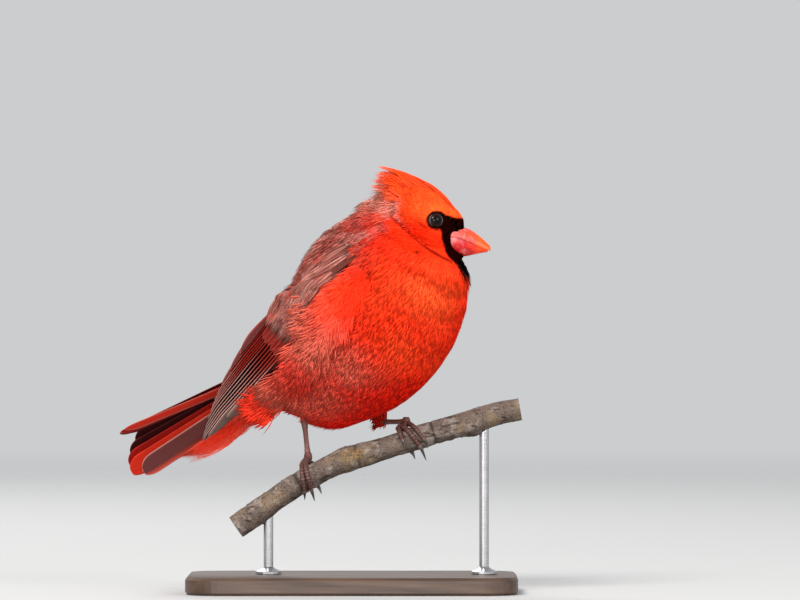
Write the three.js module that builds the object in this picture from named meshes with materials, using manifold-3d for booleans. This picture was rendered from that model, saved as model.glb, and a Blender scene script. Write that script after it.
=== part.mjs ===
// A still, life-size model of a male northern cardinal, fluffed against the cold and gripping a
// short cut length of branch, which two rods hold over a flat base. Millimetres, +Z up, and the
// origin is the middle of the base's underside. The bird faces +X, turned a little towards -Y.
import * as THREE from "three";
import { mergeVertices } from "three/addons/utils/BufferGeometryUtils.js";
import Module from "manifold-3d";

const wasm = await Module();
wasm.setup();

// Driving dimensions, in millimetres and degrees.
const GAP = 0.3; // between touching pieces
const BODY = {
  centre: [5.9, 4, 121.4], // middle of the body
  yaw: 30, // the bird's heading, turned from +X towards -Y
  pitch: 47.5, // the body's long axis above the horizon
  sides: 26,
  rings: 20,
};
// Along the body's axis: [station, centre line's rise, up, down, half width].
const BODY_STATIONS = [
  [-63, 19, 3, 3, 4],
  [-59, 17, 8, 10, 10],
  [-55, 12, 14, 16, 15],
  [-49, 6, 24, 22, 21.5],
  [-40, 2.5, 31.5, 27, 27.5],
  [-26, 1, 36, 34, 33.5],
  [-10, 0, 38, 38.5, 37],
  [4, 0, 39.5, 40, 38.5],
  [18, 0, 39.5, 38.6, 37.5],
  [28, 0, 38.5, 36, 35],
  [38, 0, 36.5, 31, 31],
  [47, 3.5, 30, 29, 25],
  [53.5, 9, 19.5, 24, 18],
  [58, 12, 10, 14, 11],
];
const NECK_FROM = 29; // station where the ruff of the neck parts from the torso
const HEAD = {
  centre: [33.2, -13, 167.3],
  yaw: 6,
  sides: 20,
};
// Along the head, back to face: [station, top, bottom, half width].
const HEAD_STATIONS = [
  [-17.5, 11, -4, 8],
  [-14, 15, -9.5, 12],
  [-9, 17.6, -14, 14.8],
  [-3, 18, -16.8, 16.4],
  [2.3, 16.7, -18.4, 16.6],
  [5.6, 15, -19, 15.2],
  [8.2, 13.2, -19.3, 12.2],
  [10.5, 11.4, -19.3, 8.8],
  [12.8, 9.2, -19, 6.6],
  [15.3, 6.6, -18.2, 5.4],
  [17.6, 3.2, -16.6, 4.2],
];
const EYE = { at: [5.4, 12.0, 1.2], radius: 3.8, lidRing: 3.55, lidTube: 0.8, lidOut: 1.7 };
// Beak halves, base to tip: [station, top, bottom, half width].
const UPPER_BILL = [
  [12.5, -0.9, -6.6, 6.2],
  [15.6, -1.5, -6.3, 6.3],
  [19.6, -2.4, -8.0, 5.5],
  [23.6, -4.9, -9.8, 4.2],
  [27, -7.7, -11.2, 2.7],
  [29.6, -10.3, -12.1, 1.3],
];
const LOWER_BILL = [
  [11.5, -6.4, -13.0, 6.3],
  [13.6, -5.4, -14.2, 6.4],
  [17.2, -5.6, -14.9, 5.7],
  [21.5, -7.4, -14.2, 4.3],
  [25.2, -9.6, -13.4, 2.6],
  [28.2, -11.2, -12.9, 1.2],
];
const CREST = {
  ridge: [[16.6, 5.2], [13, 10.2], [8, 14.6], [1.5, 18.6], [-6, 22], [-13, 24.4], [-20.5, 26]],
  capHalfWidth: 8.5,
  capDepth: 4,
  vaneThickness: 1,
};
const WING = {
  tip: [-66.9, -30.5, 67.7], // right wing, in the bird's frame but at true height
  shoulder: [2, -39.8, 132.7],
  leftTip: [-72, 15, 90],
  leftShoulder: [2, 35, 138],
  thickness: 0.55,
  clearance: 2.2, // how far the folded wing stands off the body
  primaryTips: [17, 3.2, 0, 0.6, 2.2, 5.5, 9.5], // each tip's place along the wing, from the wing's tip
  primaryTilts: [-58, -38, -26, -21, -17, -14, -12], // the lowest one hangs its web downwards
  secondaryTips: [13, 17, 21],
  tertialTips: [25, 33, 42],
};
const TAIL = {
  root: [-14.5, 17, 112.6],
  yaw: 10, // swung a little towards the right wing
  pitch: 25, // below the horizon
  roll: 29, // right edge raised
  rightLengths: [92, 95, 98, 99.5, 98, 95], // from the middle pair outwards
  leftLengths: [93, 98, 103, 106, 107, 102],
  thickness: 0.6,
  rightFan: [0.7, 2.6, 4.5, 6.4, 8.3, 10.2], // degrees off the tail's middle line
  leftFan: [0.7, 2.6, 4.4, 6, 7.5, 8.9],
  stem: { along: [-14, -4, 8, 16, 22], below: [1, 1.2, 1.8, 2.2, 2], radii: [7, 8.5, 7.4, 4.6, 2] },
  under: [[-5.3, 40], [-1.8, 48], [1.7, 50], [5.2, 46], [8.6, 66]], // place across and length of each covert
  over: [[-4.7, 26], [0.2, 32], [4.9, 27]],
  featherHalfWidth: 6.2,
};
const PERCH = {
  radius: 5.4,
  sides: 12,
  line: [[-52.7, 29.5], [-41.8, 37], [-30.9, 45], [-18.2, 52.7], [-3.6, 59.8], [7.3, 63],
    [21.8, 67.5], [34.5, 71.6], [50.9, 76.4], [67.3, 81.4], [76.4, 83]],
};
const STAND = {
  base: { length: 150, depth: 86, height: 8, corner: 14, bevel: 1.2 },
  rods: [-38, 60], // where each rod stands along the base
  rodRadius: 2.2,
  footRadius: 6,
  footHeight: 2.4,
};

const radians = THREE.MathUtils.degToRad;
const vec = (x, y, z) => new THREE.Vector3(x, y, z);

// Colours and finishes.
const finish = (color, roughness, metalness = 0) =>
  new THREE.MeshStandardMaterial({ color, roughness, metalness });
const FINISH = {
  redPlumage: finish(0xc81e10, 0.85),
  crestPlumage: finish(0xe03a16, 0.85),
  wingFeather: finish(0x8a3a32, 0.7),
  tailFeather: finish(0x9a2420, 0.7),
  bill: finish(0xe8502e, 0.4),
  eye: finish(0x0a0808, 0.05),
  leg: finish(0x6a3026, 0.6),
  claw: finish(0x2a2020, 0.45),
  bark: finish(0x8d857b, 0.95),
  wood: finish(0x4a3222, 0.5),
  steel: finish(0xb8b8b8, 0.3, 1),
};

// Monotone cubic through the points (xs, ys): slopes are the harmonic means of the neighbours'.
function smooth(xs, ys) {
  const n = xs.length;
  const step = xs.slice(1).map((x, i) => x - xs[i]);
  const rise = step.map((h, i) => (ys[i + 1] - ys[i]) / h);
  const slope = ys.map((_, i) => {
    if (i === 0) return rise[0];
    if (i === n - 1) return rise[n - 2];
    if (rise[i - 1] * rise[i] <= 0) return 0;
    return (2 * rise[i - 1] * rise[i]) / (rise[i - 1] + rise[i]);
  });
  return (x) => {
    let i = 0;
    while (i < n - 2 && x > xs[i + 1]) i++;
    const t = Math.min(1, Math.max(0, (x - xs[i]) / step[i]));
    const a = 1 - t;
    return (
      a * a * (1 + 2 * t) * ys[i] + t * t * (3 - 2 * t) * ys[i + 1] +
      a * a * t * step[i] * slope[i] - t * t * a * step[i] * slope[i + 1]
    );
  };
}

// One smooth function for each column of a table of stations.
function columns(table) {
  const xs = table.map((row) => row[0]);
  return table[0].slice(1).map((_, c) => smooth(xs, table.map((row) => row[c + 1])));
}

// The bird's own frame: x ahead, y to its left, z up.
const heading = radians(BODY.yaw);
const AHEAD = vec(Math.cos(heading), -Math.sin(heading), 0);
const LEFT = vec(Math.sin(heading), Math.cos(heading), 0);
const UP = vec(0, 0, 1);
const BODY_CENTRE = vec(...BODY.centre);
function fromBird(x, y, height) {
  return vec(BODY.centre[0], BODY.centre[1], height).addScaledVector(AHEAD, x).addScaledVector(LEFT, y);
}

function flip(triangles) {
  return triangles.map(([a, b, c]) => [a, c, b]);
}

// A closed solid from points and triangles, turned so that its faces point out.
function solid(points, triangles) {
  const build = (list) =>
    new wasm.Manifold(
      new wasm.Mesh({
        numProp: 3,
        vertProperties: new Float32Array(points.flatMap((p) => [p.x, p.y, p.z])),
        triVerts: new Uint32Array(list.flat()),
      }),
    );
  const made = build(triangles);
  return made.volume() < 0 ? build(flip(triangles)) : made;
}

// A closed solid from rings of equal size and a point beyond each end.
function rings(list, first, last) {
  const n = list[0].length;
  const points = [...list.flat(), first, last];
  const [a, b] = [points.length - 2, points.length - 1];
  const triangles = [];
  for (let i = 0; i < list.length - 1; i++)
    for (let j = 0; j < n; j++) {
      const k = (j + 1) % n;
      const [p, q, r, s] = [i * n + j, i * n + k, (i + 1) * n + k, (i + 1) * n + j];
      triangles.push([p, q, r], [p, r, s]);
    }
  for (let j = 0; j < n; j++) {
    const k = (j + 1) % n;
    const end = (list.length - 1) * n;
    triangles.push([a, k, j], [b, end + j, end + k]);
  }
  return solid(points, triangles);
}

// A feather vane: each section is {at, side, normal, ahead, behind, thin}, with ahead and behind
// its width to either side of the shaft, and thin its share of the thickness. Both faces are split
// the same way, so they never cross.
function vane(sections, thickness) {
  const points = sections.flatMap(({ at, side, normal, ahead, behind, thin = 1 }) => {
    const half = (thickness / 2) * thin;
    const lead = at.clone().addScaledVector(side, -ahead);
    const trail = at.clone().addScaledVector(side, behind);
    return [
      lead.clone().addScaledVector(normal, half),
      trail.clone().addScaledVector(normal, half),
      trail.clone().addScaledVector(normal, -half),
      lead.clone().addScaledVector(normal, -half),
    ];
  });
  const triangles = [];
  for (let i = 0; i < sections.length - 1; i++) {
    const [a, b, c, d] = [4 * i, 4 * i + 1, 4 * i + 2, 4 * i + 3];
    const [e, f, g, h] = [a + 4, b + 4, c + 4, d + 4];
    triangles.push([a, b, f], [a, f, e]); // upper face
    triangles.push([d, g, c], [d, h, g]); // lower face, split alike
    triangles.push([b, c, g], [b, g, f], [d, a, e], [d, e, h]);
  }
  const end = 4 * (sections.length - 1);
  triangles.push([0, 2, 1], [0, 3, 2], [end, end + 1, end + 2], [end, end + 2, end + 3]);
  return solid(points, triangles);
}

// Width along a vane, as a share of its full width: full over most of its length, round at the tip.
function vaneWidth(t, rootShare = 0.55, roundFrom = 0.78) {
  const grow = rootShare + (1 - rootShare) * Math.min(1, t / 0.3);
  if (t <= roundFrom) return grow;
  const u = (t - roundFrom) / (1 - roundFrom);
  return grow * Math.sqrt(Math.max(0.02, 1 - 0.93 * u * u));
}

const join = (pieces) => wasm.Manifold.union(pieces);

function largest(made) {
  return made.decompose().sort((a, b) => b.volume() - a.volume())[0];
}

const bird = new THREE.Group();
const stand = new THREE.Group();

function addNode(group, name, made, material) {
  const mesh = largest(made).getMesh();
  const geometry = new THREE.BufferGeometry();
  geometry.setAttribute("position", new THREE.BufferAttribute(mesh.vertProperties, 3));
  geometry.setIndex(new THREE.BufferAttribute(mesh.triVerts, 1));
  const node = new THREE.Mesh(geometry, material);
  node.name = name;
  group.add(node);
  return node;
}

// A three.js geometry as a solid, moved by a matrix.
function fromGeometry(geometry, matrix = new THREE.Matrix4()) {
  const bare = geometry.clone().applyMatrix4(matrix);
  bare.deleteAttribute("normal");
  bare.deleteAttribute("uv");
  const merged = mergeVertices(bare, 1e-4);
  const position = merged.attributes.position;
  const points = Array.from({ length: position.count }, (_, i) =>
    vec(position.getX(i), position.getY(i), position.getZ(i)),
  );
  const index = Array.from(merged.index.array);
  const triangles = [];
  for (let i = 0; i < index.length; i += 3) triangles.push(index.slice(i, i + 3));
  const whole = triangles.filter(([a, b, c]) => a !== b && b !== c && a !== c);
  return solid(points, whole);
}

function ball(centre, radius, segments = 12) {
  const geometry = new THREE.SphereGeometry(radius, segments, Math.round(segments * 0.7));
  return fromGeometry(geometry, new THREE.Matrix4().makeTranslation(centre.x, centre.y, centre.z));
}

// A tube of changing radius along a list of points, closed at both ends.
function tube(points, radii, sides, grow = 0) {
  const list = points.map((at, i) => {
    const before = points[Math.max(0, i - 1)];
    const after = points[Math.min(points.length - 1, i + 1)];
    const along = after.clone().sub(before).normalize();
    const flat = Math.abs(along.y) > 0.9 ? vec(1, 0, 0) : vec(0, 1, 0);
    const u = flat.clone().cross(along).normalize();
    const v = along.clone().cross(u);
    return Array.from({ length: sides }, (_, j) => {
      const angle = (2 * Math.PI * j) / sides;
      const r = radii[i] + grow;
      return at.clone().addScaledVector(u, r * Math.cos(angle)).addScaledVector(v, r * Math.sin(angle));
    });
  });
  const n = points.length;
  const reach = (from, to, r) => to.clone().addScaledVector(to.clone().sub(from).normalize(), 0.5 * r + grow);
  const first = reach(points[1], points[0], radii[0]);
  const last = reach(points[n - 2], points[n - 1], radii[n - 1]);
  return rings(list, first, last);
}

// Body: rings of half ellipses, deeper above or below the axis as the stations say.
const pitch = radians(BODY.pitch);
const BODY_AXIS = AHEAD.clone().multiplyScalar(Math.cos(pitch)).addScaledVector(UP, Math.sin(pitch));
const BODY_BACK = AHEAD.clone().multiplyScalar(-Math.sin(pitch)).addScaledVector(UP, Math.cos(pitch));
const [bodyRise, bodyUp, bodyDown, bodyWidth] = columns(BODY_STATIONS);

function bodyPoint(station, angle, grow = 0) {
  const lift = Math.sin(angle);
  const depth = (lift > 0 ? bodyUp(station) : bodyDown(station)) + grow;
  return BODY_CENTRE.clone()
    .addScaledVector(BODY_AXIS, station)
    .addScaledVector(BODY_BACK, bodyRise(station) + depth * lift)
    .addScaledVector(LEFT, (bodyWidth(station) + grow) * Math.cos(angle));
}

function bodySolid(grow = 0) {
  const first = BODY_STATIONS[0][0];
  const last = BODY_STATIONS.at(-1)[0];
  const list = Array.from({ length: BODY.rings }, (_, i) => {
    const t = i / (BODY.rings - 1);
    const eased = 0.5 - 0.5 * Math.cos(Math.PI * t);
    const station = first + (last - first) * (0.55 * t + 0.45 * eased);
    const angles = Array.from({ length: BODY.sides }, (_, j) => (2 * Math.PI * j) / BODY.sides);
    return angles.map((angle) => bodyPoint(station, angle, grow));
  });
  const cap = (station, reach) =>
    BODY_CENTRE.clone()
      .addScaledVector(BODY_AXIS, station + reach)
      .addScaledVector(BODY_BACK, bodyRise(station));
  return rings(list, cap(first, -1.5 - grow), cap(last, 2.5 + grow));
}

function insideBody(point, grow) {
  const from = point.clone().sub(BODY_CENTRE);
  const station = from.dot(BODY_AXIS);
  if (station < BODY_STATIONS[0][0] - grow || station > BODY_STATIONS.at(-1)[0] + grow) return false;
  const rise = from.dot(BODY_BACK) - bodyRise(station);
  const depth = (rise > 0 ? bodyUp(station) : bodyDown(station)) + grow;
  return (rise / depth) ** 2 + (from.dot(LEFT) / (bodyWidth(station) + grow)) ** 2 < 1;
}

// The point moved outwards, if need be, until it is clear of the body.
function liftOff(point, outward, clearance) {
  const step = 0.25;
  const moved = point.clone();
  while (insideBody(moved, clearance)) moved.addScaledVector(outward, step);
  return moved;
}

// The side of a plane that its normal points to, as a huge box.
function halfSpace(at, normal) {
  const size = 400;
  const turn = new THREE.Quaternion().setFromUnitVectors(UP, normal);
  const centre = at.clone().addScaledVector(normal, size / 2);
  const place = new THREE.Matrix4().compose(centre, turn, vec(1, 1, 1));
  return fromGeometry(new THREE.BoxGeometry(size, size, size), place);
}

// Head frame: x towards the face, y to the bird's left, z up.
const headYaw = radians(HEAD.yaw);
const FACE = vec(Math.cos(headYaw), -Math.sin(headYaw), 0);
const HEAD_LEFT = vec(Math.sin(headYaw), Math.cos(headYaw), 0);
const HEAD_CENTRE = vec(...HEAD.centre);
const onHead = (x, y, z) =>
  HEAD_CENTRE.clone().addScaledVector(FACE, x).addScaledVector(HEAD_LEFT, y).addScaledVector(UP, z);

// A loft of ellipses along the head frame's x, from stations of top, bottom and half width.
function headLoft(table, count, sides, grow, reach) {
  const [top, bottom, width] = columns(table);
  const [first, last] = [table[0][0], table.at(-1)[0]];
  const list = Array.from({ length: count }, (_, i) => {
    const t = i / (count - 1);
    const x = first + (last - first) * t;
    const middle = (top(x) + bottom(x)) / 2;
    const half = (top(x) - bottom(x)) / 2 + grow;
    return Array.from({ length: sides }, (_, j) => {
      const angle = (2 * Math.PI * j) / sides;
      return onHead(x, (width(x) + grow) * Math.cos(angle), middle + half * Math.sin(angle));
    });
  });
  const pole = (x, out) => onHead(x + out, 0, (top(x) + bottom(x)) / 2);
  return rings(list, pole(first, -reach[0] - grow), pole(last, reach[1] + grow));
}

const skull = (grow = 0) => headLoft(HEAD_STATIONS, 12, HEAD.sides, grow, [3, 2]);
const eyeAt = (side) => onHead(EYE.at[0], side * EYE.at[1], EYE.at[2]);

function eyeLids(side) {
  const out = onHead(EYE.at[0] + 4.2, side * (EYE.at[1] + 9), EYE.at[2] + 0.6).sub(eyeAt(side)).normalize();
  const turn = new THREE.Quaternion().setFromUnitVectors(UP, out);
  const at = eyeAt(side).addScaledVector(out, EYE.lidOut);
  const ring = new THREE.TorusGeometry(EYE.lidRing, EYE.lidTube, 5, 12);
  return fromGeometry(ring, new THREE.Matrix4().compose(at, turn, vec(1, 0.86, 1)));
}

function buildHead() {
  const lids = join([skull(), eyeLids(-1), eyeLids(1)]);
  const eyes = join([ball(eyeAt(-1), EYE.radius + GAP), ball(eyeAt(1), EYE.radius + GAP)]);
  const bill = join([upperBill(GAP), lowerBill(GAP)]);
  addNode(bird, "head", lids.subtract(eyes).subtract(bill), FINISH.redPlumage);
  for (const [side, name] of [[-1, "eye_right"], [1, "eye_left"]])
    addNode(bird, name, ball(eyeAt(side), EYE.radius), FINISH.eye);
}

const upperBill = (grow = 0) => headLoft(UPPER_BILL, 9, 12, grow, [0.5, 1.3]);
const lowerBill = (grow = 0) => headLoft(LOWER_BILL, 8, 12, grow, [0.5, 1.0]);

function buildBill() {
  const nostrils = join([-1, 1].map((side) => ball(onHead(16, side * 6.2, -3), 0.9, 6)));
  addNode(bird, "bill_upper", upperBill().subtract(nostrils), FINISH.bill);
  addNode(bird, "bill_lower", lowerBill().subtract(upperBill(GAP)), FINISH.bill);
}

// Crest: a low cap on the crown, and feathers that lie back along it and fray at their tips.
function crestVane([rootX, rootY], [tipX, tipY, tipZ], arch, halfWidth) {
  const ridge = smooth(CREST.ridge.map((p) => -p[0]), CREST.ridge.map((p) => p[1]));
  const drop = (y) => 0.055 * y * y; // the crown falls away to each side
  const root = onHead(rootX, rootY, ridge(-rootX) - 2.6 - drop(rootY));
  const tip = onHead(tipX, tipY, tipZ);
  const midX = 0.5 * (rootX + tipX);
  const midY = 0.5 * (rootY + tipY);
  const mid = onHead(midX, midY, ridge(-midX) - arch - drop(midY));
  const curve = new THREE.QuadraticBezierCurve3(root, mid.clone().multiplyScalar(2)
    .addScaledVector(root, -0.5).addScaledVector(tip, -0.5), tip);
  const count = 5;
  const sections = Array.from({ length: count }, (_, i) => {
    const t = i / (count - 1);
    const along = curve.getTangent(t);
    const side = HEAD_LEFT.clone().addScaledVector(UP, -0.03 * midY).normalize();
    const normal = side.clone().cross(along).normalize();
    const width = halfWidth * (1 - 0.85 * t ** 3) * (0.7 + 0.3 * Math.min(1, 3 * t));
    return { at: curve.getPoint(t), side, normal, ahead: width, behind: width, thin: 1 - 0.7 * t ** 3 };
  });
  return vane(sections, CREST.vaneThickness);
}

function buildCrest(neck) {
  const ridge = smooth(CREST.ridge.map((p) => -p[0]), CREST.ridge.map((p) => p[1]));
  const stations = [15.5, 12, 7, 1, -5, -10];
  const capTable = stations.map((x, i) => {
    const share = [0.45, 0.8, 1, 1, 0.9, 0.6][i];
    return [-x, ridge(-x) - 0.9, ridge(-x) - 0.9 - CREST.capDepth * 2, CREST.capHalfWidth * share];
  });
  const [top, bottom, width] = columns(capTable);
  const list = Array.from({ length: 9 }, (_, i) => {
    const x = stations[0] + (stations.at(-1) - stations[0]) * (i / 8);
    const middle = (top(-x) + bottom(-x)) / 2;
    return Array.from({ length: 14 }, (_, j) => {
      const angle = (2 * Math.PI * j) / 14;
      return onHead(x, width(-x) * Math.cos(angle), middle + CREST.capDepth * Math.sin(angle));
    });
  });
  const cap = rings(list, onHead(16.4, 0, ridge(-16.4) - 3), onHead(-11.5, 0, ridge(11.5) - 6));
  // Feathers: [root along the head, sideways], [tip], lie below the ridge, half width.
  const feathers = [
    crestVane([13, 0], [-21.6, 0, 26], 0, 2.4),
    crestVane([9, 1.6], [-21.2, 0.9, 24], 0.9, 2.3),
    crestVane([9, -1.6], [-20.8, -0.9, 24.6], 0.9, 2.3),
    crestVane([4, 0.4], [-22.6, 0.4, 21.6], 2.2, 2.4),
    crestVane([-1, -0.4], [-23.2, -0.5, 19.3], 3.8, 2.4),
    crestVane([-5, 0.3], [-21.4, 0.3, 16.7], 5.8, 2.5),
  ];
  for (const side of [-1, 1]) {
    feathers.push(crestVane([12, side * 2.6], [-17.5, side * 2.8, 23.6], 1.0, 2.2));
    feathers.push(crestVane([6, side * 4.4], [-18.6, side * 3.8, 20.6], 1.5, 2.3));
    feathers.push(crestVane([1, side * 4.9], [-19, side * 4.3, 17.4], 3.0, 2.3));
    feathers.push(crestVane([8, side * 6.4], [-13.6, side * 6.4, 19], 1.2, 2.1));
    feathers.push(crestVane([0, side * 7.2], [-15.6, side * 6.6, 15.2], 2.8, 2.1));
  }
  addNode(bird, "crest", join([cap, ...feathers]).subtract(skull(GAP)).subtract(neck), FINISH.crestPlumage);
}

// A wing's chart: a runs from the tip towards the shoulder, b rises over the back, and d runs
// from the leading edge in towards the bird's middle.
function wingChart(tip, shoulder, inward, outward) {
  const start = fromBird(...tip);
  const toShoulder = fromBird(...shoulder).sub(start).normalize();
  const across = AHEAD.clone()
    .multiplyScalar(-0.2)
    .addScaledVector(LEFT, 0.92 * inward)
    .addScaledVector(UP, 0.34);
  const inner = across.addScaledVector(toShoulder, -across.dot(toShoulder)).normalize();
  const over = toShoulder.clone().cross(inner).multiplyScalar(inward).normalize();
  const at = (a, b, d) => {
    const flat = start.clone().addScaledVector(toShoulder, a).addScaledVector(over, b);
    return liftOff(flat, outward, WING.clearance).addScaledVector(inner, d);
  };
  return { at, toShoulder, inner, over };
}

// Closed wing, seen across: feather 0 is the outer primary and lies lowest, and the tertials
// drape over the top. Each is {tip, root, level, depth, tilt, width} in the chart.
function flightFeathers() {
  const primaries = WING.primaryTips.map((tip, i) => ({
    tip, root: 74, level: 1.55 * i, depth: 0.45 * i, tilt: WING.primaryTilts[i], width: 8.6,
  }));
  const secondaries = WING.secondaryTips.map((tip, i) => ({
    tip, root: 76, level: 10.7 + 1.2 * i, depth: 3.2 + 0.7 * i, tilt: -12, width: 8.4,
  }));
  const tertials = WING.tertialTips.map((tip, i) => ({
    tip, root: 76, level: 13.9 + 0.9 * i, depth: 4.6 + 1.2 * i, tilt: 20 + 4 * i, width: 8.2,
  }));
  return [...primaries, ...secondaries, ...tertials];
}

// Leading edge of the closed wing: it sags a little below the straight chart in its middle, and
// the stack of feathers draws together towards the tip.
const wingSag = (a) => -1.9 * Math.sin(Math.PI * Math.min(1, Math.max(0, (a - 17) / 80)));
const stackShare = smooth([0, 8, 26, 50, 80], [0.42, 0.6, 0.84, 1, 1.02]);

function flightVane(chart, feather) {
  const shares = [0, 0.28, 0.6, 0.85, 1]; // of the way from root to tip
  const tilt = radians(feather.tilt);
  const side = chart.inner.clone().multiplyScalar(Math.cos(tilt)).addScaledVector(chart.over, Math.sin(tilt));
  const normal = side.clone().cross(chart.toShoulder).normalize();
  const sections = shares.map((t) => {
    const a = feather.root + (feather.tip - feather.root) * t;
    const b = wingSag(a) + feather.level * stackShare(a);
    const width = feather.width * vaneWidth(t, 0.5, 0.7) * (1 - 0.18 * t);
    const at = chart.at(a, b, feather.depth * stackShare(a));
    return { at, side, normal, ahead: 0.15 * width, behind: 0.85 * width };
  });
  return vane(sections, WING.thickness);
}

// The arm inside the folded wing: flat, and slanting back over the body as it rises.
const WING_SLANT = 0.22; // depth gained per millimetre of rise
function wingCore(chart) {
  // [a, half height, half depth]
  const table = [
    [57, 6.4, 0.9], [63, 7.6, 1.8], [72, 8.4, 2.8], [84, 8.9, 3.8], [95, 8.6, 4.4], [104, 6.6, 4],
  ];
  const middle = 7.4;
  const list = table.map(([a, high, deep]) =>
    Array.from({ length: 8 }, (_, j) => {
      const angle = (2 * Math.PI * j) / 8;
      const b = middle + high * Math.cos(angle);
      return chart.at(a, wingSag(a) + b, WING_SLANT * b + deep + 0.3 + deep * Math.sin(angle));
    }),
  );
  const end = (a) => chart.at(a, wingSag(a) + middle, WING_SLANT * middle + 3);
  return rings(list, chart.at(55, wingSag(55) + middle, WING_SLANT * middle + 1.2), end(109));
}

// Coverts lie over the roots of the flight feathers and face outwards.
function covert(chart, a, b, length, halfWidth, lift) {
  const count = 4;
  const lean = Math.atan(WING_SLANT);
  const side = chart.over.clone().multiplyScalar(Math.cos(lean)).addScaledVector(chart.inner, Math.sin(lean));
  const normal = side.clone().cross(chart.toShoulder).normalize();
  const sections = Array.from({ length: count }, (_, i) => {
    const t = i / (count - 1);
    const station = a - length * t;
    const rise = b * (1 - 0.06 * t);
    const depth = WING_SLANT * rise + 1.4 * (1 - t) ** 3 - lift * t;
    const width = halfWidth * vaneWidth(t, 0.7, 0.6);
    const at = chart.at(station, wingSag(station) + rise, depth);
    return { at, side, normal, ahead: width, behind: width };
  });
  return vane(sections, 0.8);
}

function buildWing(name, chart, body) {
  const core = wingCore(chart);
  const greater = [0, 1, 2, 3, 4].map((i) => covert(chart, 86, 0.4 + 3.6 * i, 19 - 0.3 * i, 2.7, 0.7));
  const median = [0, 1, 2, 3].map((i) => covert(chart, 96, 1.8 + 3.8 * i, 15, 3.0, 1.2));
  const flight = flightFeathers().map((feather) => flightVane(chart, feather));
  const whole = join([core, ...flight, ...greater, ...median]);
  addNode(bird, name, whole.subtract(body), FINISH.wingFeather);
}

// Tail frame: t runs back along the tail, w to the bird's left, n up from its upper side.
function tailFrame() {
  const fall = radians(TAIL.pitch);
  const roll = radians(TAIL.roll);
  const swing = radians(TAIL.yaw);
  const back = vec(-Math.cos(fall) * Math.cos(swing), Math.cos(fall) * Math.sin(swing), -Math.sin(fall));
  const level = vec(Math.sin(swing), Math.cos(swing), 0);
  const above = level.clone().cross(back).normalize();
  if (above.z < 0) above.negate();
  const wide = level.clone().multiplyScalar(Math.cos(roll)).addScaledVector(above, -Math.sin(roll));
  const up = above.clone().multiplyScalar(Math.cos(roll)).addScaledVector(level, Math.sin(roll));
  return { root: vec(...TAIL.root), back, wide, up };
}

const tail = tailFrame();
const tailAt = (t, w, n) =>
  tail.root.clone().addScaledVector(tail.back, t).addScaledVector(tail.wide, w).addScaledVector(tail.up, n);
// Each half slopes down from the middle, the right one less.
const tailArch = (w) => -(w < 0 ? 0.32 : 0.42) * (Math.sqrt(w * w + 9) - 3);

// Tail feather k, counted from the middle pair, on one side.
function rectrix(side, k) {
  const fan = radians((side < 0 ? TAIL.rightFan : TAIL.leftFan)[k]);
  const length = (side < 0 ? TAIL.rightLengths : TAIL.leftLengths)[k];
  const count = 6;
  const sections = Array.from({ length: count }, (_, i) => {
    const t = i / (count - 1);
    const reach = length * t;
    const w = side * (1.2 + 0.25 * k + reach * Math.sin(fan));
    const n = tailArch(w) - 0.35 - k * (0.95 - 0.05 * k) - (side > 0 ? 0.4 : 0); // right pair on top
    const width = TAIL.featherHalfWidth * vaneWidth(t, 0.4, 0.82);
    const slope = tailArch(w + 0.5) - tailArch(w - 0.5);
    const across = tail.wide.clone().addScaledVector(tail.up, slope).normalize();
    const normal = across.clone().cross(tail.back).normalize();
    const outer = width * 0.62;
    const inner = width * 1.2;
    return { at: tailAt(reach, w, n), side: across, normal,
      ahead: side > 0 ? inner : outer, behind: side > 0 ? outer : inner };
  });
  return vane(sections, TAIL.thickness);
}

function tailCovert(w, n, length, halfWidth, start, droop) {
  const count = 4;
  const sections = Array.from({ length: count }, (_, i) => {
    const t = i / (count - 1);
    const width = halfWidth * vaneWidth(t, 0.8, 0.5);
    const at = tailAt(start + length * t, w * (1 + 0.3 * t), n + tailArch(w) + droop * t);
    return { at, side: tail.wide, normal: tail.up, ahead: width, behind: width };
  });
  return vane(sections, 0.9);
}

function buildTail(body) {
  const feathers = [-1, 1].flatMap((side) => [0, 1, 2, 3, 4, 5].map((k) => rectrix(side, k)));
  const { along, below, radii } = TAIL.stem;
  const stem = tube(along.map((t, i) => tailAt(t, 0, -below[i])), radii, 12);
  const under = TAIL.under.map(([w, length]) => tailCovert(w, -6.5, length, 4.2, 2.3, 2.2));
  const over = TAIL.over.map(([w, length]) => tailCovert(w, 3.3, length, 4.3, 2.1, -2.2));
  addNode(bird, "tail", join([stem, ...feathers, ...under, ...over]).subtract(body), FINISH.tailFeather);
}

// Perch: a tube along the branch's line, with a knot and a swelling or two.
const PERCH_POINTS = PERCH.line.map(([x, z]) => vec(x, 0, z));
const PERCH_CURVE = new THREE.CatmullRomCurve3(PERCH_POINTS, false, "centripetal");
const PERCH_LENGTH = PERCH_CURVE.getLength();

function perchFrame(distance) {
  const share = Math.min(1, Math.max(0, distance / PERCH_LENGTH));
  const at = PERCH_CURVE.getPointAt(share);
  const along = PERCH_CURVE.getTangentAt(share);
  const above = vec(-along.z, 0, along.x);
  return { at, along, above };
}

// Distance along the perch of the point that has this x.
function perchDistance(x) {
  let [low, high] = [0, PERCH_LENGTH];
  for (let i = 0; i < 40; i++) {
    const middle = (low + high) / 2;
    if (perchFrame(middle).at.x < x) low = middle;
    else high = middle;
  }
  return low;
}

// Angle runs from the top of the branch towards -Y.
function perchPoint(distance, angle, radius) {
  const { at, above } = perchFrame(distance);
  const level = vec(0, -radius * Math.sin(angle), 0);
  return at.clone().addScaledVector(above, radius * Math.cos(angle)).add(level);
}

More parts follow.
